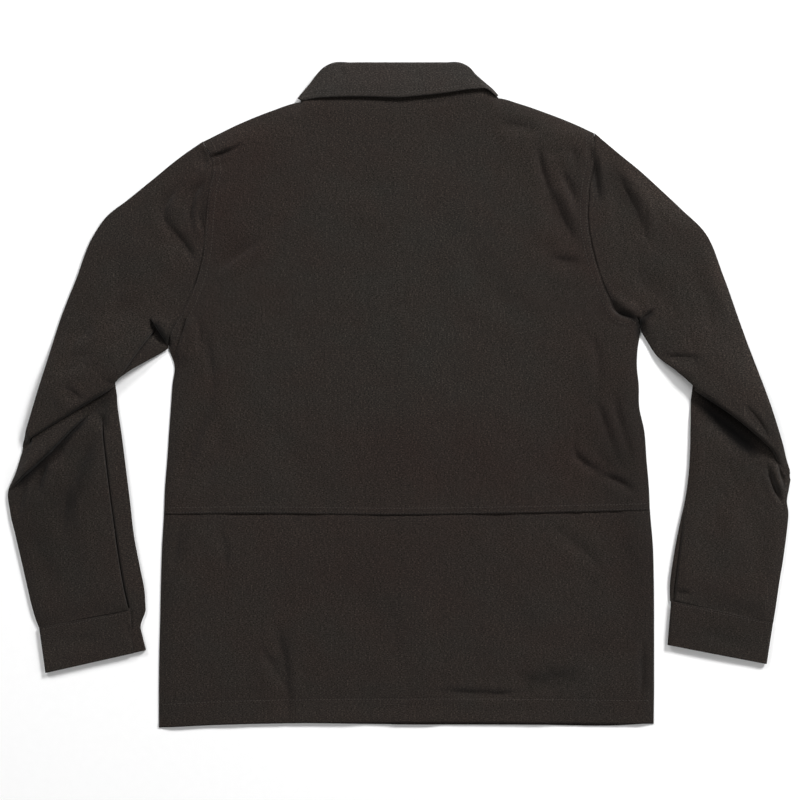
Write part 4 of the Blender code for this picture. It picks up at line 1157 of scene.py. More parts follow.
def make_back_upper(finish):
    left, right = (upper_end(side) for side in OUTWARD)
    across = even_places(right[0, 0] - left[0, 0], PANEL_PITCH)
    top_x = across_x(left, right, 0, across)
    neck_y = curve(column(COLLAR, 2), column(COLLAR, 3) + BACK_PAST_LEAF, top_x)
    neck_y = np.where((top_x > COLLAR[0][2]) & (top_x < COLLAR[-1][2]), neck_y, 0.0)
    top = np.column_stack([top_x, np.maximum(read(TOP_EDGE, top_x), neck_y)])
    low_x = across_x(left, right, -1, across)
    low = np.column_stack([low_x, read(WAIST, low_x)])
    points = panel_grid(left, right, top, low, across)
    x, y = points[..., 0].copy(), points[..., 1].copy()
    from_ends = (x - left[:, :1], right[:, :1] - x)
    from_waist = y - low[:, 1]
    moved = laps(BACK_LAPS, x, y) + folds(BACK_FOLDS, x, y)
    shift_inside(points, moved[:2], (*from_ends, top[:, 1] - y, from_waist))
    height = back_height(x, y, moved[2], SEEDS["back_upper"])
    for side in OUTWARD:
        away, reached, _, _ = beside(armhole(side, np.linspace(0.0, 1.0, ARMHOLE_POINTS)), x, y)
        away = np.abs(away)
        height += sewn_band(away, ARMHOLE_STITCH_ROWS) + puckers(reached, away, SEEDS["armhole"])
    band = sewn_band(from_waist, WAIST_STITCH_ROWS, *WAIST_BAND)
    height += band + puckers(x, from_waist, SEEDS["waist"])
    near_armpit = smooth((ARMHOLE_STEPS - ROLL_START) / (1.0 - ROLL_START))
    rolls = np.concatenate([near_armpit, np.ones(UPPER_SIDE_ROWS)])[:, None]
    for distance in from_ends:
        kept = 1.0 - rolls * (1.0 - rolled(distance / ROLL_WIDTH))
        height = ROLLED_EDGE_HEIGHT + (height - ROLLED_EDGE_HEIGHT) * kept
    neck = smooth((NECK_EDGE_HALF_WIDTH - np.abs(x - NECK_MIDDLE_X)) / NECK_EDGE_FADE)
    edge = np.minimum(ROLLED_EDGE_HEIGHT + neck * (NECK_EDGE_HEIGHT - ROLLED_EDGE_HEIGHT), height)
    points[..., 2] = edge + (height - edge) * rolled((top[:, 1] - y) / ROLL_WIDTH)
    return add_panel("cloth_back_upper", points, BACK_WALL, finish)


def make_back_lower(finish):
    y = np.linspace(WAIST[0][1] + WAIST_LAP, HEMS[0][1], LOWER_ROWS)
    y = np.concatenate([y[:-1], y[-1] + np.array(HEM_ROWS)])
    left, right = (np.column_stack([side_x(side, y), y]) for side in OUTWARD)
    right[:, 1] = left[:, 1] + (HEMS[-1][1] - left[-1, 1]) * np.linspace(0.0, 1.0, len(y))
    across = even_places(right[-1, 0] - left[-1, 0], PANEL_PITCH)
    top_x = across_x(left, right, 0, across)
    top = np.column_stack([top_x, read(WAIST, top_x) + WAIST_LAP])
    low_x = across_x(left, right, -1, across)
    low = np.column_stack([low_x, read(HEMS, low_x)])
    points = panel_grid(left, right, top, low, across)
    x, y = points[..., 0].copy(), points[..., 1].copy()
    from_ends = (x - left[:, :1], right[:, :1] - x)
    below_waist = top[:, 1] - WAIST_LAP - y
    from_hem = y - low[:, 1]
    moved = folds(LOWER_FOLDS, x, y)
    shift_inside(points, moved[:2], (*from_ends, below_waist, from_hem))
    step = WAIST_STEP * smooth(1.0 - below_waist / WAIST_STEP_REACH)
    sink = HEM_SINK * smooth(1.0 - from_hem / HEM_SINK_REACH)
    height = back_height(x, y, moved[2], SEEDS["back_lower"]) - step - sink
    from_row = from_hem - HEM_STITCH_ROW
    sewn = puckers(x, from_row, SEEDS["hem"]) - HEM_GROOVE * bell(from_row, HEM_GROOVE_WIDTH)
    height += smooth(below_waist / WAIST_SHOWN) * sewn
    height += HEM_FOLD_RISE * smooth((HEM_STITCH_ROW - from_hem) / HEM_FOLD_SLOPE)
    height = np.maximum(height, FRONT_WALL + BACK_WALL + LAYER_GAP)
    # Under the lap it stays below the upper panel
    under_lap = np.minimum(height, BACK_HEIGHT - WAIST_STEP - LAP_CLEARANCE)
    height = np.where(below_waist < 0.0, under_lap, height)
    edge = ROLLED_EDGE_HEIGHT
    for distance in from_ends:
        height = edge + (height - edge) * rolled(distance / ROLL_WIDTH)
    # The wall hangs straight down at the hem's corners, so the edge stands a whole wall above the table
    least = edge + (BACK_WALL + HEM_ABOVE_TABLE - edge) * smooth(1.0 - from_hem / HEM_CORNER_REACH)
    points[..., 2] = np.maximum(height - HEM_ROLL * bell(from_hem, 1.0), least)
    inset = WAIST_LAP_INSET * smooth(1.0 - np.minimum(*from_ends) / WAIST_LAP_FADE)
    points[..., 0] -= np.sign(x) * (below_waist < 0.0) * inset
    return add_panel("cloth_back_lower", points, BACK_WALL, finish)


# The fronts, on the table


def make_front(side, finish):
    sign = OUTWARD[side]
    steps = even_places(ARMHOLE_LENGTH, FRONT_PITCH, FRONT_ARMHOLE_PLACES)
    near_armpit = smooth((steps - UNDERLAP_START) / UNDERLAP_RUN) * smooth((1.0 - steps) / UNDERLAP_END)
    outer = armhole(side, steps, SEAM_GAP / 2 - FRONT_UNDERLAP * near_armpit)
    hem_y = HEMS[0 if side == "left" else -1][2]
    below = np.linspace(outer[-1, 1], hem_y, int((outer[-1, 1] - hem_y) / FRONT_PITCH) + 1)[1:]
    near_end = smooth((steps - 1.0 + INSET_FADE) / INSET_FADE)
    near_shoulder = smooth(1.0 - steps / INSET_FADE)
    outer[:, 0] -= sign * FRONT_INSET * near_end
    outer[:, 0] -= sign * FRONT_INSET * near_shoulder
    outer[:, 1] -= FRONT_INSET * near_shoulder
    outer = np.vstack([outer, np.column_stack([side_x(side, below) - sign * FRONT_INSET, below])])
    rows_y = np.linspace(NECKLINE_BOTTOM_Y, HEMS[3][2], len(outer))
    inner = np.column_stack([placket_x(rows_y) - sign * PLACKET_LAP, rows_y])
    across = even_places(abs(outer[-1, 0] - inner[-1, 0]), FRONT_PITCH, FRONT_EDGE_PLACES)
    top_x = across_x(inner, outer, 0, across)
    neck_share = np.clip(np.abs(top_x) / NECK_HALF_WIDTH, 0.0, 1.0)
    neckline = NECKLINE_BOTTOM_Y + (NECKLINE_TOP_Y - NECKLINE_BOTTOM_Y) * neck_share**NECKLINE_CURVE
    shoulder = read(TOP_EDGE, top_x) - FRONT_INSET
    top = np.column_stack([top_x, np.where(neck_share < 1.0, neckline, shoulder)])
    low_x = across_x(inner, outer, -1, across)
    low = np.column_stack([low_x, read(HEMS, low_x, 2)])
    top[-1] = outer[0]
    top[0, 1] = NECKLINE_BOTTOM_Y
    points = panel_grid(inner, outer, top, low, across)
    x, y = points[..., 0], points[..., 1]
    base = front_base(x, y) + np.maximum(0.0, folds(FRONT_FOLDS, x, y)[2])
    if side == "right":
        base = base + LAP_STEP * smooth((LAP_STEP_REACH - (x - placket_x(y))) / LAP_STEP_SLOPE)
    points[..., 2] = base + FRONT_WALL
    if side == "left":
        points = points[:, ::-1]
    return add_panel(f"cloth_front_{side}", points, FRONT_WALL, finish)


# The sleeves


def dense(table, pitch):
    """A table's rows as a smooth run of many sections, and how far each is through the last interval."""
    rows = np.array(table, float)
    outer = np.hypot(*np.diff(rows[:, 0:2], axis=0).T)
    inner = np.hypot(*np.diff(rows[:, 2:4], axis=0).T)
    reached = np.concatenate([[0.0], np.cumsum(np.maximum(outer, inner))])
    places = np.linspace(0.0, reached[-1], int(reached[-1] / pitch) + 1)
    last_share = np.clip((places - reached[-2]) / (reached[-1] - reached[-2]), 0.0, 1.0)
    return curve(reached, rows, places), last_share


def towards_hand(side, run):
    """The direction square to a section that runs from its outer to its inner end."""
    return np.array([run[1], -run[0]]) * -OUTWARD[side]


def section_line(side, row, steps):
    """A section's places in plan, from its outer to its inner end."""
    outer = np.array(row[0:2])
    inner = np.array(row[2:4])
    line = outer + steps[:, None] * (inner - outer)
    scye = armhole(side, steps, -SEAM_GAP / 2)
    shoulder, armpit = armhole(side, (0.0, 1.0))
    straight = shoulder + steps[:, None] * (armpit - shoulder)
    line = line + row[5] * (scye - straight)
    sag = row[6] * 4.0 * steps * (1.0 - steps)
    return line + np.outer(sag, towards_hand(side, unit(inner - outer)))


def tuck_angle(side, steps):
    return math.pi * smooth((steps - TUCK_OPENS[side]) / (TUCK_CLOSES[side] - TUCK_OPENS[side]))


def tuck_length(side, steps):
    closed = np.clip((steps - TUCK_CLOSES[side]) / (1.0 - TUCK_CLOSES[side]), 0.0, 1.0)
    return TUCK_DEPTH * closed + TUCK_LEAST_DEPTH


def tuck_radius(side, steps):
    """How wide the cloth turns: the right sleeve stands well off its forearm in the fold's middle."""
    extra, start, end = TUCK_STAND_OFF[side]
    return TUCK_RADIUS + extra * np.sin(math.pi * np.clip((steps - start) / (end - start), 0.0, 1.0))


def tuck_drop(side, steps):
    angle = tuck_angle(side, steps)
    return 2.0 * tuck_radius(side, steps) * (1.0 - np.cos(angle)) + tuck_length(side, steps) * np.sin(angle)


def upper_arm_frames(side, table, steps, fold, to_hand, pull):
    """The upper arm's sections. Near the elbow they rise onto the tuck and give it cloth."""
    fold_start = np.array(table[-1][0:2])
    fold_length = math.hypot(*fold)
    rows, last_share = dense(table, SLEEVE_PITCH)
    frames = []
    for row, pulled in zip(rows[:-1], last_share[:-1]):
        plan = section_line(side, row, steps) - pulled * pull
        from_fold = plan - fold_start
        behind = -(from_fold @ to_hand)
        share = from_fold @ unit(fold) / fold_length
        near = smooth((TUCK_LIFT_REACH - behind) / TUCK_LIFT_SLOPE)
        lift = tuck_drop(side, np.clip(share, 0.0, 1.0)) * near
        lift *= smooth(1.0 - (share - TUCK_LIFT_PAST) * fold_length / TUCK_LIFT_SLOPE)
        frames.append((plan, row[4] / 2 + lift, 0.0 * steps, row[4], "upper"))
    return frames


def tuck_frames(side, last, forearm, steps, to_hand, pull):
    """The elbow's tuck: the cloth turns over, goes back beneath itself and turns forward again."""
    angle = tuck_angle(side, steps)
    radius = tuck_radius(side, steps)
    length = tuck_length(side, steps)
    start = section_line(side, last, steps) - pull
    spread = TUCK_SPREAD * (1.0 - angle / math.pi)
    outline = unit(np.subtract(forearm[0][0:2], last[0:2]))
    ahead_run = outline + smooth(steps / TUCK_TURNS)[:, None] * (to_hand - outline)
    inner_edge = unit(np.subtract(forearm[2][2:4], forearm[0][2:4]))
    turning = smooth((steps - TUCK_BACK_START) / TUCK_BACK_RUN)[:, None]
    back_run = to_hand + turning * (inner_edge - to_hand)
    shares = np.linspace(0.0, 1.0, TUCK_ARC_STEPS + 1)
    frames = []
    for number, (turn, part) in enumerate([(turn, part) for part in ("down", "up") for turn in shares]):
        if part == "down":
            heading = turn * angle
            ahead = radius * np.sin(heading)
            back = 0.0 * steps
            fall = radius * (1.0 - np.cos(heading))
        else:
            heading = (1.0 - turn) * angle
            ahead = radius * (2.0 * np.sin(angle) - np.sin(heading))
            back = length * np.cos(angle)
            fall = radius * (1.0 + np.cos(heading) - 2.0 * np.cos(angle)) + length * np.sin(angle)
        ahead = ahead + spread * number
        centre = TUCK_THICKNESS / 2 + tuck_drop(side, steps) - fall
        plan = start + ahead[:, None] * ahead_run + back[:, None] * back_run
        frames.append((plan, centre, heading, TUCK_THICKNESS, "tuck"))
    return frames


def forearm_frames(side, forearm, steps):
    """The forearm's sections on the table. Its end runs on into the cuff.

    Past the left cuff's vent the end runs on further, over the cuff's under end.
    """
    rows, _ = dense(forearm, SLEEVE_PITCH)
    reached = np.arange(len(rows)) * SLEEVE_PITCH
    rows[:, 4] += FOREARM_PUFF * smooth(reached / PUFF_START) * smooth((reached[-1] - reached) / PUFF_END)
    level = 0.0 * steps
    frames = [(section_line(side, row, steps), row[4] / 2, level, row[4], "forearm") for row in rows]
    plan, middle, _, thick, _ = frames[-1]
    run = unit(rows[-1][2:4] - rows[-1][0:2])
    to_cuff = towards_hand(side, run)
    vent = CUFF_OVERLAP_END[side]
    shown = smooth((steps - vent - VENT_EDGE) / (2.0 * VENT_EDGE)) * (VENT_RUN[side] > 0.0)
    past_vent = smooth((steps - vent + VENT_UNDERLAP) / VENT_FADE)
    squeeze = CUFF_SQUEEZE * (smooth(1.0 - steps / 0.1) - smooth((steps - 0.9) / 0.1) * (1.0 - shown))
    for share in np.linspace(0.1, 1.0, 10):
        reach = share * (CUFF_INSERT + past_vent * VENT_RUN[side])
        narrowing = squeeze * smooth(share)
        narrowing = narrowing - VENT_NARROWING * smooth(share) * shown * smooth((steps - 0.8) / 0.2)
        inserted = smooth(reach / CUFF_INSERT) * (1.0 - shown) + share * shown
        thickness = thick + (CUFF_INSERT_THICKNESS - thick) * inserted
        centre = middle + (CUFF_INSERT_HEIGHT - middle) * inserted
        moved = plan + np.outer(reach, to_cuff) + np.outer(narrowing, run)
        frames.append((moved, centre, level, thickness, "end"))
    return frames


def sleeve_frames(side, steps):
    """Each section's places, the height of its middle, its heading, its thickness and its stretch.

    The upper arm comes down to the elbow on top of the tuck, the cloth turns over and back beneath
    itself, and the forearm goes on along the table.
    """
    upper_arm, forearm = SLEEVES[side]
    last = upper_arm[-1]
    fold = np.subtract(last[2:4], last[0:2])
    to_hand = towards_hand(side, unit(fold))
    turned = (tuck_radius(side, steps) + TUCK_THICKNESS / 2) * tuck_angle(side, steps) / math.pi
    pull = np.outer(turned, to_hand)
    frames = upper_arm_frames(side, upper_arm, steps, fold, to_hand, pull)
    frames += tuck_frames(side, last, forearm, steps, to_hand, pull)
    frames += forearm_frames(side, forearm, steps)
    return frames, to_hand


def sleeve_relief(stretch, plan, side):
    """What folds and laps add to the upper side of a sleeve, along X, along Y and in height."""
    x, y = plan[:, 0], plan[:, 1]
    if stretch in ("tuck", "end"):
        return np.zeros((3, len(x)))
    fold_table, lap_table = SLEEVE_RELIEFS[side, stretch]
    moved = laps(lap_table, x, y) + folds(fold_table, x, y)
    seed = SEEDS[f"sleeve_{side}"]
    moved[2] += waviness(x, y, seed) + crumpled(x, y, seed + CRUMPLE_SEED)
    return moved


def ring_steps(count, evenness):
    """Shares across a sleeve, closer together towards its two edges."""
    t = np.linspace(0.0, 1.0, count)
    return evenness * t + (1.0 - evenness) * (0.5 - 0.5 * np.cos(math.pi * t))


def sleeve_skin(side, top_steps, low_steps, wall, every):
    """One skin of a sleeve: the outer one, or the inner one, which stands in from it by the wall."""
    top_frames, to_hand = sleeve_frames(side, top_steps)
    low_frames, _ = sleeve_frames(side, low_steps)
    forward = np.array([*to_hand, 0.0])
    up = np.array([0.0, 0.0, 1.0])
    rings = []
    for number in sorted({*range(0, len(top_frames), every), len(top_frames) - 1}):
        ring = []
        for (plan, centre, heading, thickness, stretch), steps, above in (
            (top_frames[number], top_steps, True),
            (low_frames[number], low_steps, False),
        ):
            inward = wall * (np.exp(-steps / SKIN_ROUNDING) - np.exp((steps - 1.0) / SKIN_ROUNDING))
            run = np.gradient(plan, steps, axis=0)
            run /= np.hypot(*run.T)[:, None]
            place = plan + inward[:, None] * run
            edge = np.minimum(steps, 1.0 - steps)
            if above:
                kept = rolled(edge / UPPER_ROUNDING)
                half = (thickness / 2 - wall) * kept
                deepest = SEAM_GAP - (thickness - 2.0 * SLEEVE_WALL)
                moved = sleeve_relief(stretch, plan, side)
                moved[:2] *= min(1.0, number / HELD_SECTIONS)
                place = place + (moved[:2] * kept).T
                half = half + np.maximum(moved[2], deepest) * kept
            else:
                half = -(thickness / 2 - wall) * rounded(edge / LOWER_ROUNDING)
            normal = np.outer(np.sin(heading), forward) + np.outer(np.cos(heading), up)
            ring.append(np.column_stack([place, centre * np.ones(len(steps))]) + half[:, None] * normal)
        rings.append(np.vstack(ring))
    return np.array(rings)


def make_sleeve(side, finish):
    top_steps = ring_steps(SLEEVE_TOP_POINTS, 0.5)
    low_steps = ring_steps(SLEEVE_LOW_POINTS + 2, 0.5)[::-1][1:-1]
    outside = sleeve_skin(side, top_steps, low_steps, 0.0, 1)
    inside = sleeve_skin(side, top_steps[::2], low_steps[1::2], SLEEVE_WALL, 2)
    return add_tube(f"cloth_sleeve_{side}", outside, inside, finish)


def add_tube(name, outside, inside, finish):
    """A tube of cloth from its outer skin and its coarser inner one, joined at its two ends."""
    index = np.arange(outside[..., 0].size).reshape(outside.shape[:2])
    inner = np.arange(inside[..., 0].size).reshape(inside.shape[:2]) + index.size
    after, inner_after = (np.roll(skin, -1, axis=1) for skin in (index, inner))
    faces = np.stack([index[:-1], after[:-1], after[1:], index[1:]], axis=-1).reshape(-1, 4).tolist()
    turned = np.stack([inner[1:], inner_after[1:], inner_after[:-1], inner[:-1]], axis=-1)
    faces += turned.reshape(-1, 4).tolist()
    for row, turn in ((0, 1), (-1, -1)):
        for k in range(inner.shape[1]):
            ahead = [index[row, (2 * k + step) % index.shape[1]] for step in (2, 1, 0)]
            faces.append([int(v) for v in (*ahead, inner[row, k], inner_after[row, k])][::turn])
    places = np.concatenate([outside.reshape(-1, 3), inside.reshape(-1, 3)])
    mesh = new_mesh(name, places, faces, places[:, :2] + places[:, 2:] * (0.5, 1.0))
    shape = bmesh.new()
    shape.from_mesh(mesh)
    bmesh.ops.recalc_face_normals(shape, faces=shape.faces)
    shape.to_mesh(mesh)
    shape.free()
    write_dye_and_painted_shade(mesh)
    return add_piece(name, mesh, finish)


# The cuffs


def cuff_path(side):
    """The band's way round the wrist: share across, height, and share of its depth where it starts."""
    low = CUFF_WALL / 2
    high = CUFF_HEIGHT - CUFF_WALL / 2
    path = [(CUFF_OVERLAP_END[side] - back, high - below, 0.0) for back, below in CUFF_LIP[side]]
    path += [(0.6, high, 0.0), (0.3, high, 0.0), (0.1, high - 0.1, 0.0)]
    for angle in np.radians((70, 35, 0, -35, -70)):
        radius = (high - low) / 2
        path.append((0.035 - 0.028 * math.cos(angle), low + radius + radius * math.sin(angle), 0.0))
    drop = CUFF_UNDER_DROP[side]
    path += [(0.1, low, 0.0), (0.3, low, 0.0), (0.6, low, 0.0), (0.85, low, 0.0), (0.885, low, drop)]
    turn = CUFF_UNDER_TURN[side]
    for angle in np.radians((-80, -40, 0, 40, 80)):
        radius = (CUFF_UNDER_LAYER - low) / 2
        path.append((turn + 0.015 * math.cos(angle), low + radius + radius * math.sin(angle), drop))
    path += [(share, CUFF_UNDER_LAYER, drop) for share in (turn - 0.04, 0.8, CUFF_UNDER_END)]
    return np.array(path)


def make_cuff(side, finish):
    """A band wound once round, whose free end lies over its start on the upper side."""
    top_outer, top_inner, low_outer, low_inner = np.array(CUFFS[side])
    breadth = math.hypot(*(top_inner - top_outer))
    path = cuff_path(side) * (breadth, 1.0, 1.0)
    reached = np.concatenate([[0.0], np.cumsum(np.hypot(*np.diff(path[:, :2], axis=0).T))])
    places = np.unique(np.concatenate([np.linspace(0.0, reached[-1], CUFF_POINTS), reached]))
    across, height, start = (np.interp(places, reached, numbers) for numbers in path.T)
    across = across / breadth
    rows = []
    for share in even_places(CUFF_DEPTH, CUFF_PITCH, CUFF_EDGE_PLACES):
        shown = (start + (1.0 - start) * share)[:, None]
        outer = top_outer + shown * (low_outer - top_outer)
        inner = top_inner + shown * (low_inner - top_inner)
        place = outer + across[:, None] * (inner - outer)
        place[:, 0] -= CUFF_NARROWING[side] * (1.0 - share) * smooth((across - 0.8) / 0.2)
        rows.append(np.column_stack([place, height]))
    points = np.array(rows)
    x, y = points[..., 0].copy(), points[..., 1].copy()
    on_top = smooth((height - CUFF_UNDER_LAYER - 0.6) / 0.6)
    points[..., 2] += (0.35 * waviness(x, y, SEEDS["cuff"]) + folds(CUFF_FOLDS, x, y)[2]) * on_top
    if side == "left":
        points = points[::-1]
    return add_panel(f"cloth_cuff_{side}", points, CUFF_WALL, finish, offset=0.0)


# The collar


def collar_section(row):
    """Places from the neck seam up the stand, over the fold and down the leaf to its edge."""
    fold, leaf = np.reshape(row[:4], (2, 2))
    leaf_z, stand_z = row[4:]
    drop = math.hypot(*(leaf - fold))
    neck = leaf + (fold - leaf) / drop * NECK_BEHIND_LEAF
    down = (leaf - fold) / drop
    low_z = min(stand_z, STAND_FOLD_HEIGHT)
    radius = max(min(COLLAR_ROLL, 0.3 * drop, (leaf_z - low_z) / 2), COLLAR_LEAST_ROLL)
    turn = fold + down * radius
    section = []
    for share in np.linspace(0.0, 0.7, 6):
        z = stand_z + (low_z - stand_z) * smooth(share / 0.7)
        section.append((*(neck - share * (neck - turn)), z))
    for angle in np.linspace(-math.pi / 2, math.pi / 2, 11):
        z = low_z + radius + radius * math.sin(angle)
        section.append((*(turn - down * radius * math.cos(angle)), z))
    high_z = low_z + 2 * radius
    for share in np.linspace(0.05, 1.0, 18):
        groove = LEAF_GROOVE * bell((1.0 - share) * drop - LEAF_STITCH_ROW, STITCH_GROOVE_WIDTH)
        crown = LEAF_CROWN * math.sin(math.pi * share**1.2) - groove
        place = turn + share * (leaf - turn)
        z = high_z + (leaf_z - high_z) * share + crown
        z += float(folds(COLLAR_FOLDS, place[:1], place[1:])[2][0])
        section.append((*place, z + 0.5 * float(waviness(*place, SEEDS["collar"]))))
    return section


def make_collar(finish):
    """The stand rises from the neck seam, rolls over the fold, and the leaf comes down over it."""
    table = np.array(COLLAR)
    reached = np.concatenate([[0.0], np.cumsum(np.hypot(*np.diff(table[:, 0:2], axis=0).T))])
    sections = curve(reached, table, np.linspace(0.0, reached[-1], COLLAR_SECTIONS))
    points = np.array([collar_section(row) for row in sections]).transpose(1, 0, 2)
    return add_panel("cloth_collar", points, COLLAR_WALL, finish, offset=0.0, in_plan=True)


def make_collar_end(side, finish):
    """One turned-down front end of the collar, flat on the table under its front."""
    fold_top, fold_end, point, outer_end = np.array(COLLAR_ENDS[side])
    across = even_places(COLLAR_END_DEPTH, COLLAR_END_PITCH, COLLAR_EDGE_PLACES)[:, None]
    rows = []
    for share in even_places(COLLAR_END_LENGTH, COLLAR_END_PITCH, COLLAR_EDGE_PLACES):
        inner = fold_top + share * (fold_end - fold_top)
        outer = outer_end + share * (point - outer_end)
        bow = np.array([0.0, COLLAR_END_BOW * share * (1.0 - share)])
        line = (inner - bow) + across * (outer - inner)
        rows.append(np.column_stack([line, np.full(len(line), COLLAR_WALL)]))
    points = np.array(rows)
    if side == "right":
        points = points[:, ::-1]
    return add_panel(f"cloth_collar_front_{side}", points, COLLAR_WALL, finish)


# Buttons


def bored(blank):
    """A button's mesh with its four holes cut through."""
    drills = bmesh.new()
    radius = HOLE_RADIUS * MM
    for x in (-HOLE_PLACE, HOLE_PLACE):
        for y in (-HOLE_PLACE, HOLE_PLACE):
            size = {"radius1": radius, "radius2": radius, "depth": 3.0 * BUTTON_THICKNESS * MM}
            place = Matrix.Translation((x * MM, y * MM, BUTTON_THICKNESS / 2 * MM))
            bmesh.ops.create_cone(drills, cap_ends=True, segments=16, matrix=place, **size)
    drill_mesh = bpy.data.meshes.new("button_drills")
    drills.to_mesh(drill_mesh)
    drills.free()
    made = [place_piece("button_drills", drill_mesh), place_piece("button_blank", blank)]
    cut = made[1].modifiers.new("Holes", "BOOLEAN")
    cut.object = made[0]
    mesh = bpy.data.meshes.new_from_object(made[1].evaluated_get(bpy.context.evaluated_depsgraph_get()))
    mesh.name = "button"
    shape = bmesh.new()
    shape.from_mesh(mesh)
    bmesh.ops.remove_doubles(shape, verts=shape.verts, dist=0.002 * MM)
    bmesh.ops.triangulate(shape, faces=shape.faces)
    shape.to_mesh(mesh)
    shape.free()
    for helper in made:
        bpy.data.objects.remove(helper)
    bpy.data.meshes.remove(drill_mesh)
    bpy.data.meshes.remove(blank)
    return mesh


def make_buttons(finish):
    """Four-hole buttons with a raised rim, face down on the table."""
    shape = bmesh.new()
    verts = [shape.verts.new((radius * MM, 0.0, height * MM)) for radius, height in BUTTON_PROFILE]
    edges = [shape.edges.new(pair) for pair in zip(verts[:-1], verts[1:])]
    turn = {"cent": (0, 0, 0), "axis": (0, 0, 1), "angle": 2 * math.pi, "steps": 48}
    bmesh.ops.spin(shape, geom=verts + edges, use_duplicate=False, **turn)
    bmesh.ops.remove_doubles(shape, verts=shape.verts, dist=0.01 * MM)
    bmesh.ops.recalc_face_normals(shape, faces=shape.faces)
    blank = bpy.data.meshes.new("button_blank")
    shape.to_mesh(blank)
    shape.free()
    mesh = bored(blank)
    write_cloth(mesh, np.array([vertex.co.xy for vertex in mesh.vertices]) / MM)
    mesh.materials.append(finish)
    mesh.shade_smooth()
    for number, x, y in button_places():
        piece = place_piece(f"horn_button_{number}", mesh)
        piece.location = (x * MM, y * MM, 0.0)
        dress(piece, "button")


# Sewing


def add_stitch(verts, faces, start, middle, end):
    """One stitch: a short arched thread that dips into the cloth at its ends."""
    run = end - start
    run = run / np.linalg.norm(run)
    side = np.cross(run, (0.0, 0.0, 1.0))
    side /= np.linalg.norm(side)
    up = np.cross(side, run)
    first = len(verts)
    spine = [(start + way * (middle - start), lift, share) for way, lift, share in STITCH_SPINE]
    spine += [(end + way * (middle - end), lift, share) for way, lift, share in STITCH_SPINE[-2::-1]]
    sides = THREAD_SIDES
    for place, lift, share in spine:
        for k in range(sides):
            angle = 2.0 * math.pi * k / sides
            offset = math.cos(angle) * side + math.sin(angle) * up
            verts.append(place + lift * up + THREAD_RADIUS * share * offset)
    for ring in range(len(spine) - 1):
        for k in range(sides):
            here = first + ring * sides + k
            after = first + ring * sides + (k + 1) % sides
            faces.append((here, after, after + sides, here + sides))
    faces.append(tuple(first + k for k in reversed(range(sides))))
    faces.append(tuple(first + (len(spine) - 1) * sides + k for k in range(sides)))


def add_sewing(name, stitches, finish):
    """All the stitches of one piece of sewing, each from its start over its middle to its end."""
    verts = []
    faces = []
    for start, middle, end in stitches:
        add_stitch(verts, faces, start, middle, end)
    mesh = new_mesh(name, np.array(verts), faces, np.array(verts)[:, :2])
    return add_piece(name, mesh, finish)


def on_surface(tree, places):
    """Each place's height on a piece seen from above, or not a number beside it."""
    found = []
    for x, y in places:
        hit, _, _, _ = tree.ray_cast(Vector((x * MM, y * MM, 0.1)), Vector((0, 0, -1)))
        found.append((x, y, hit.z / MM if hit else np.nan))
    return np.array(found)


def stitches_along(piece, lines):
    """Stitches in rows along lines in plan, laid on a piece."""
    tree = BVHTree.FromObject(piece, bpy.context.evaluated_depsgraph_get())
    for line in lines:
        line = np.asarray(line, float)
        length = np.hypot(*np.diff(line, axis=0).T).sum()
        middles = (np.arange(int(length / STITCH_PITCH)) + 0.5) * STITCH_PITCH / length
        shifts = [shift * STITCH_LENGTH / length for shift in (-0.5, 0.0, 0.5)]
        for stitch in zip(*(on_surface(tree, along(line, middles + shift)) for shift in shifts)):
            if not np.isnan([place[2] for place in stitch]).any():
                yield stitch


def stitches_in_buttons():
    """The threads that cross each button from hole to hole."""
    for _, x, y in button_places():
        for row_y in (y - HOLE_PLACE, y + HOLE_PLACE):
            ends = [np.array((x + step, row_y, THREAD_END_Z)) for step in (-HOLE_PLACE, HOLE_PLACE)]
            yield ends[0], np.array((x, row_y, THREAD_MIDDLE_Z)), ends[1]


def seam_line(table, row, margin):
    """A row of stitching along a seam's table, that far above it."""
    x = np.linspace(table[0][0] + margin, table[-1][0] - margin, SEAM_POINTS)
    return np.column_stack([x, read(table, x) + row])


def cuff_line(side):
    top_outer, top_inner, low_outer, _ = np.array(CUFFS[side])
    down = unit(low_outer - top_outer)
    run = top_inner - top_outer
    ends = [top_outer + share * run + CUFF_STITCH_ROW * down for share in CUFF_STITCH_SHARES[side]]
    return np.linspace(*ends, 12)


def sewn_lines():
    """The lines of topstitching on each piece of cloth."""
    steps = np.linspace(*ARMHOLE_STITCH_SPAN, SEAM_POINTS)
    upper = [armhole(side, steps, row) for side in OUTWARD for row in ARMHOLE_STITCH_ROWS]
    upper += [seam_line(WAIST, row, 4.0) for row in WAIST_STITCH_ROWS]
    fold, leaf = column(COLLAR, 0, 1), column(COLLAR, 2, 3)
    inward = (fold - leaf) / np.hypot(*(fold - leaf).T)[:, None]
    return {
        "back_upper": upper,
        "back_lower": [seam_line(HEMS, HEM_STITCH_ROW, 3.0)],
        "collar": [(leaf + LEAF_STITCH_ROW * inward)[2:-2]],
        "cuff_left": [cuff_line("left")],
        "cuff_right": [cuff_line("right")],
    }


# Materials


def fill(tree, node, inputs):
    """Gives a node's inputs their values, or links them to another node's output."""
    for name, value in inputs.items():
        if isinstance(value, bpy.types.NodeSocket):
            tree.links.new(value, node.inputs[name])
        else:
            node.inputs[name].default_value = value


def add_node(tree, kind, inputs=None, **settings):
    node = tree.nodes.new(kind)
    for name, value in settings.items():
        setattr(node, name, value)
    fill(tree, node, inputs or {})
    return node


def new_material(name):
    made = bpy.data.materials.new(name)
    made.use_nodes = True
    return made, made.node_tree


def finish_shader(tree, **inputs):
    named = {name.replace("_", " "): value for name, value in inputs.items()}
    fill(tree, tree.nodes["Principled BSDF"], named)


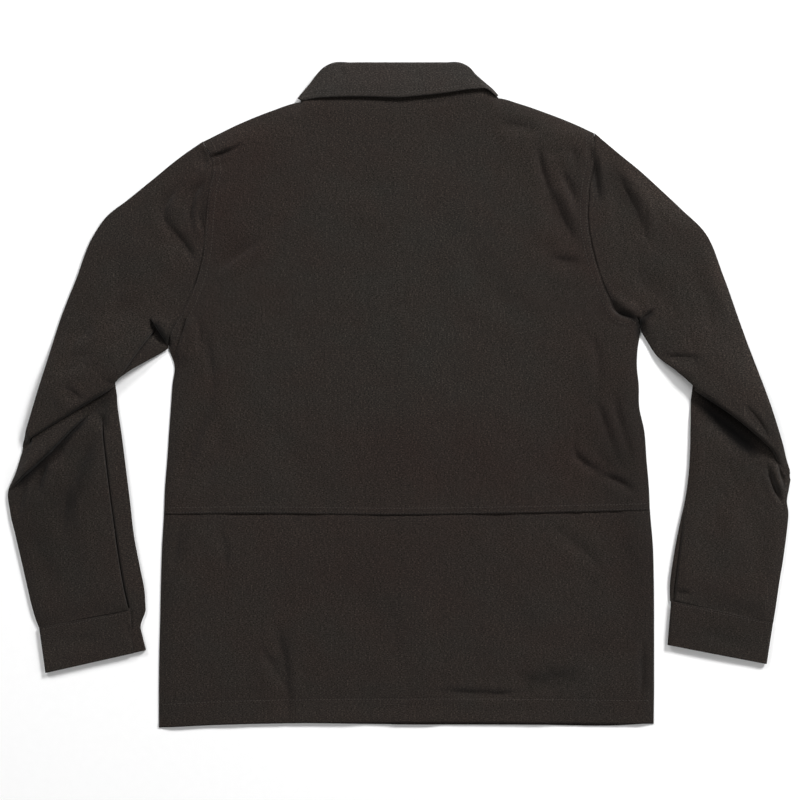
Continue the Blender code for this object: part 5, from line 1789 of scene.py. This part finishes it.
def noise(tree, place, size, stretch, detail):
    """A noise texture whose grains are about that size in metres, stretched along the cloth's width."""
    scale = (1.0 / (size * stretch), 1.0 / size, 1.0)
    mapping = add_node(tree, "ShaderNodeMapping", {"Vector": place, "Scale": scale})
    inputs = {"Vector": mapping.outputs["Vector"], "Scale": 1.0, "Detail": detail}
    return add_node(tree, "ShaderNodeTexNoise", inputs, noise_dimensions="2D").outputs["Fac"]


def mixed(tree, share, first, second, kind="MIX"):
    """first and second mixed by a share, with the given blend."""
    inputs = {"Factor": share}
    for name, value in (("A", first), ("B", second)):
        inputs[name] = (*value, 1.0) if isinstance(value, tuple) else value
    return add_node(tree, "ShaderNodeMix", inputs, data_type="RGBA", blend_type=kind).outputs["Result"]


def spread(tree, value, low, high):
    """value spread so that low becomes 0 and high becomes 1."""
    inputs = {"Value": value, "From Min": low, "From Max": high}
    return add_node(tree, "ShaderNodeMapRange", inputs).outputs["Result"]


def combined(tree, operation, first, second):
    return add_node(tree, "ShaderNodeMath", {0: first, 1: second}, operation=operation).outputs["Value"]


def scaled(colour, share):
    return tuple(share * part for part in colour)


def canvas(name, colour, contrast):
    """Woven cotton canvas: slubs in the thread, a faint mottling of the dyeing with painted shade and
    painted highlights from each vertex, and the weave in relief.
    """
    made, tree = new_material(name)
    cloth = add_node(tree, "ShaderNodeUVMap", uv_map="cloth").outputs["UV"]
    dark, light, fleck = (scaled(colour, 1.0 + share * contrast) for share in SLUB_TONES)
    slubs = noise(tree, cloth, SLUB_SIZE, 2.0, 1.5)
    grain = mixed(tree, spread(tree, slubs, 0.3, 0.7), dark, light)
    flecks = noise(tree, cloth, SLUB_SIZE, 2.6, 0.0)
    grain = mixed(tree, spread(tree, flecks, 0.66, 0.82), grain, fleck)
    blotches = noise(tree, cloth, BLOTCH_SIZE, 1.3, 4.0)
    tint = mixed(tree, spread(tree, blotches, 0.3, 0.7), COOL_TINT, WARM_TINT)
    # Each vertex's multiplier: the mottling of the dyeing, painted shade in the creases and hollows, and
    # painted highlights on the edges facing the light
    dye = add_node(tree, "ShaderNodeAttribute", attribute_name="dye").outputs["Color"]
    colour = mixed(tree, 1.0, mixed(tree, 1.0, grain, dye, "MULTIPLY"), tint, "MULTIPLY")
    bands = []
    for direction in ("X", "Y"):
        inputs = {"Vector": cloth, "Scale": BAND_TURN / (THREAD_PITCH * MM), "Distortion": 0.6}
        bands.append(add_node(tree, "ShaderNodeTexWave", inputs, bands_direction=direction).outputs["Fac"])
    relief = combined(tree, "ADD", combined(tree, "MULTIPLY", *bands), slubs)
    bump = add_node(tree, "ShaderNodeBump", {"Strength": 0.5, "Distance": 0.25 * MM, "Height": relief})
    finish_shader(
        tree,
        Base_Color=colour,
        Roughness=0.92,
        Specular_IOR_Level=0.05,
        Sheen_Weight=0.06,
        Sheen_Roughness=0.6,
        Normal=bump.outputs["Normal"],
    )
    return made


def thread(name, colour):
    """Waxed sewing thread, twisted, a little lighter than the cloth."""
    made, tree = new_material(name)
    place = add_node(tree, "ShaderNodeTexCoord").outputs["Object"]
    twist = noise(tree, place, 0.0006, 1.0, 1.0)
    colour = mixed(tree, twist, scaled(colour, 0.8), scaled(colour, 1.2))
    finish_shader(tree, Base_Color=colour, Roughness=0.6, Specular_IOR_Level=0.3)
    return made


def horn(name):
    """Dark horn, with paler streaks running across each button."""
    made, tree = new_material(name)
    place = add_node(tree, "ShaderNodeTexCoord").outputs["Object"]
    streaks = spread(tree, noise(tree, place, 0.002, 6.0, 3.0), 0.4, 0.7)
    finish_shader(tree, Base_Color=mixed(tree, streaks, HORN_DARK, HORN_PALE), Roughness=0.32)
    return made


def paper(name):
    """The pale, matt floor."""
    made, tree = new_material(name)
    place = add_node(tree, "ShaderNodeTexCoord").outputs["Object"]
    colour = mixed(tree, noise(tree, place, 0.01, 1.0, 2.0), *PAPER_TONES)
    finish_shader(tree, Base_Color=colour, Roughness=0.9, Specular_IOR_Level=0.1)
    return made


# Light, floor and camera


def make_floor():
    mesh = bpy.data.meshes.new("floor")
    corners = [(x * FLOOR_REACH, y * FLOOR_REACH, FLOOR_Z) for x, y in ((-1, -1), (1, -1), (1, 1), (-1, 1))]
    mesh.from_pydata(corners, [], [(0, 1, 2, 3)])
    add_piece("floor", mesh, paper("floor_paper"))


def make_lights():
    world = bpy.data.worlds.new("studio")
    world.use_nodes = True
    background = world.node_tree.nodes["Background"]
    fill(world.node_tree, background, {"Color": (1.0, 1.0, 1.0, 1.0), "Strength": WORLD_STRENGTH})
    bpy.context.scene.world = world
    for name, place, size, watts in LIGHTS:
        lamp = bpy.data.lights.new(name, "AREA")
        lamp.shape = "RECTANGLE"
        lamp.size, lamp.size_y = size
        lamp.energy = watts
        light = place_piece(name, lamp)
        light.location = place
        light.rotation_euler = (-Vector(place)).to_track_quat("-Z", "Y").to_euler()


def make_camera():
    lens = bpy.data.cameras.new("camera")
    lens.lens = CAMERA_LENS
    lens.sensor_width = CAMERA_SENSOR
    camera = place_piece("camera", lens)
    height = PICTURE_WIDTH * CAMERA_LENS / CAMERA_SENSOR
    camera.location = [length * MM for length in (*CAMERA_PLACE, height)]
    bpy.context.scene.camera = camera
    bpy.context.scene.view_settings.view_transform = "Standard"


# The whole jacket


def dress(piece, slot):
    """A piece rides on the jacket. Unless it is sewing, it stands for the solid that its name names."""
    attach(piece, "root")
    sort, node = piece.name.split("_", 1)
    if sort != "stitches":
        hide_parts(node)
    return piece


def declare_sheets():
    for name, (width, length, area, supports) in SHEETS.items():
        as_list(supports)


def main():
    make_floor()
    make_lights()
    make_camera()
    body = canvas("canvas_body", CLOTH_COLOUR, CLOTH_CONTRAST)
    sleeve = canvas("canvas_sleeve", CLOTH_COLOUR, CLOTH_CONTRAST)
    cuff = canvas("canvas_cuff", CLOTH_COLOUR, CLOTH_CONTRAST)
    collar = canvas("canvas_collar", COLLAR_COLOUR, COLLAR_CONTRAST)
    sewing = thread("thread", scaled(CLOTH_COLOUR, THREAD_SHARE))
    light_sewing = thread("thread_collar", scaled(COLLAR_COLOUR, COLLAR_THREAD_SHARE))

    dress(make_back_upper(body), "body_canvas")
    dress(make_back_lower(body), "body_canvas")
    for make, finish, slot in (
        (make_front, body, "body_canvas"),
        (make_sleeve, sleeve, "sleeve_canvas"),
        (make_cuff, cuff, "cuff_canvas"),
    ):
        for side in OUTWARD:
            dress(make(side, finish), slot)
    dress(make_collar(collar), "collar_canvas")
    for side in OUTWARD:
        dress(make_collar_end(side, collar), "collar_canvas")
    make_buttons(horn("horn"))
    bpy.context.view_layer.update()
    for name, lines in sewn_lines().items():
        stitches = stitches_along(bpy.data.objects[f"cloth_{name}"], lines)
        finish = light_sewing if name == "collar" else sewing
        dress(add_sewing(f"stitches_{name}", stitches, finish), SEWN_SLOTS[name])
    dress(add_sewing("stitches_buttons", stitches_in_buttons(), sewing), "button")
    declare_sheets()


main()
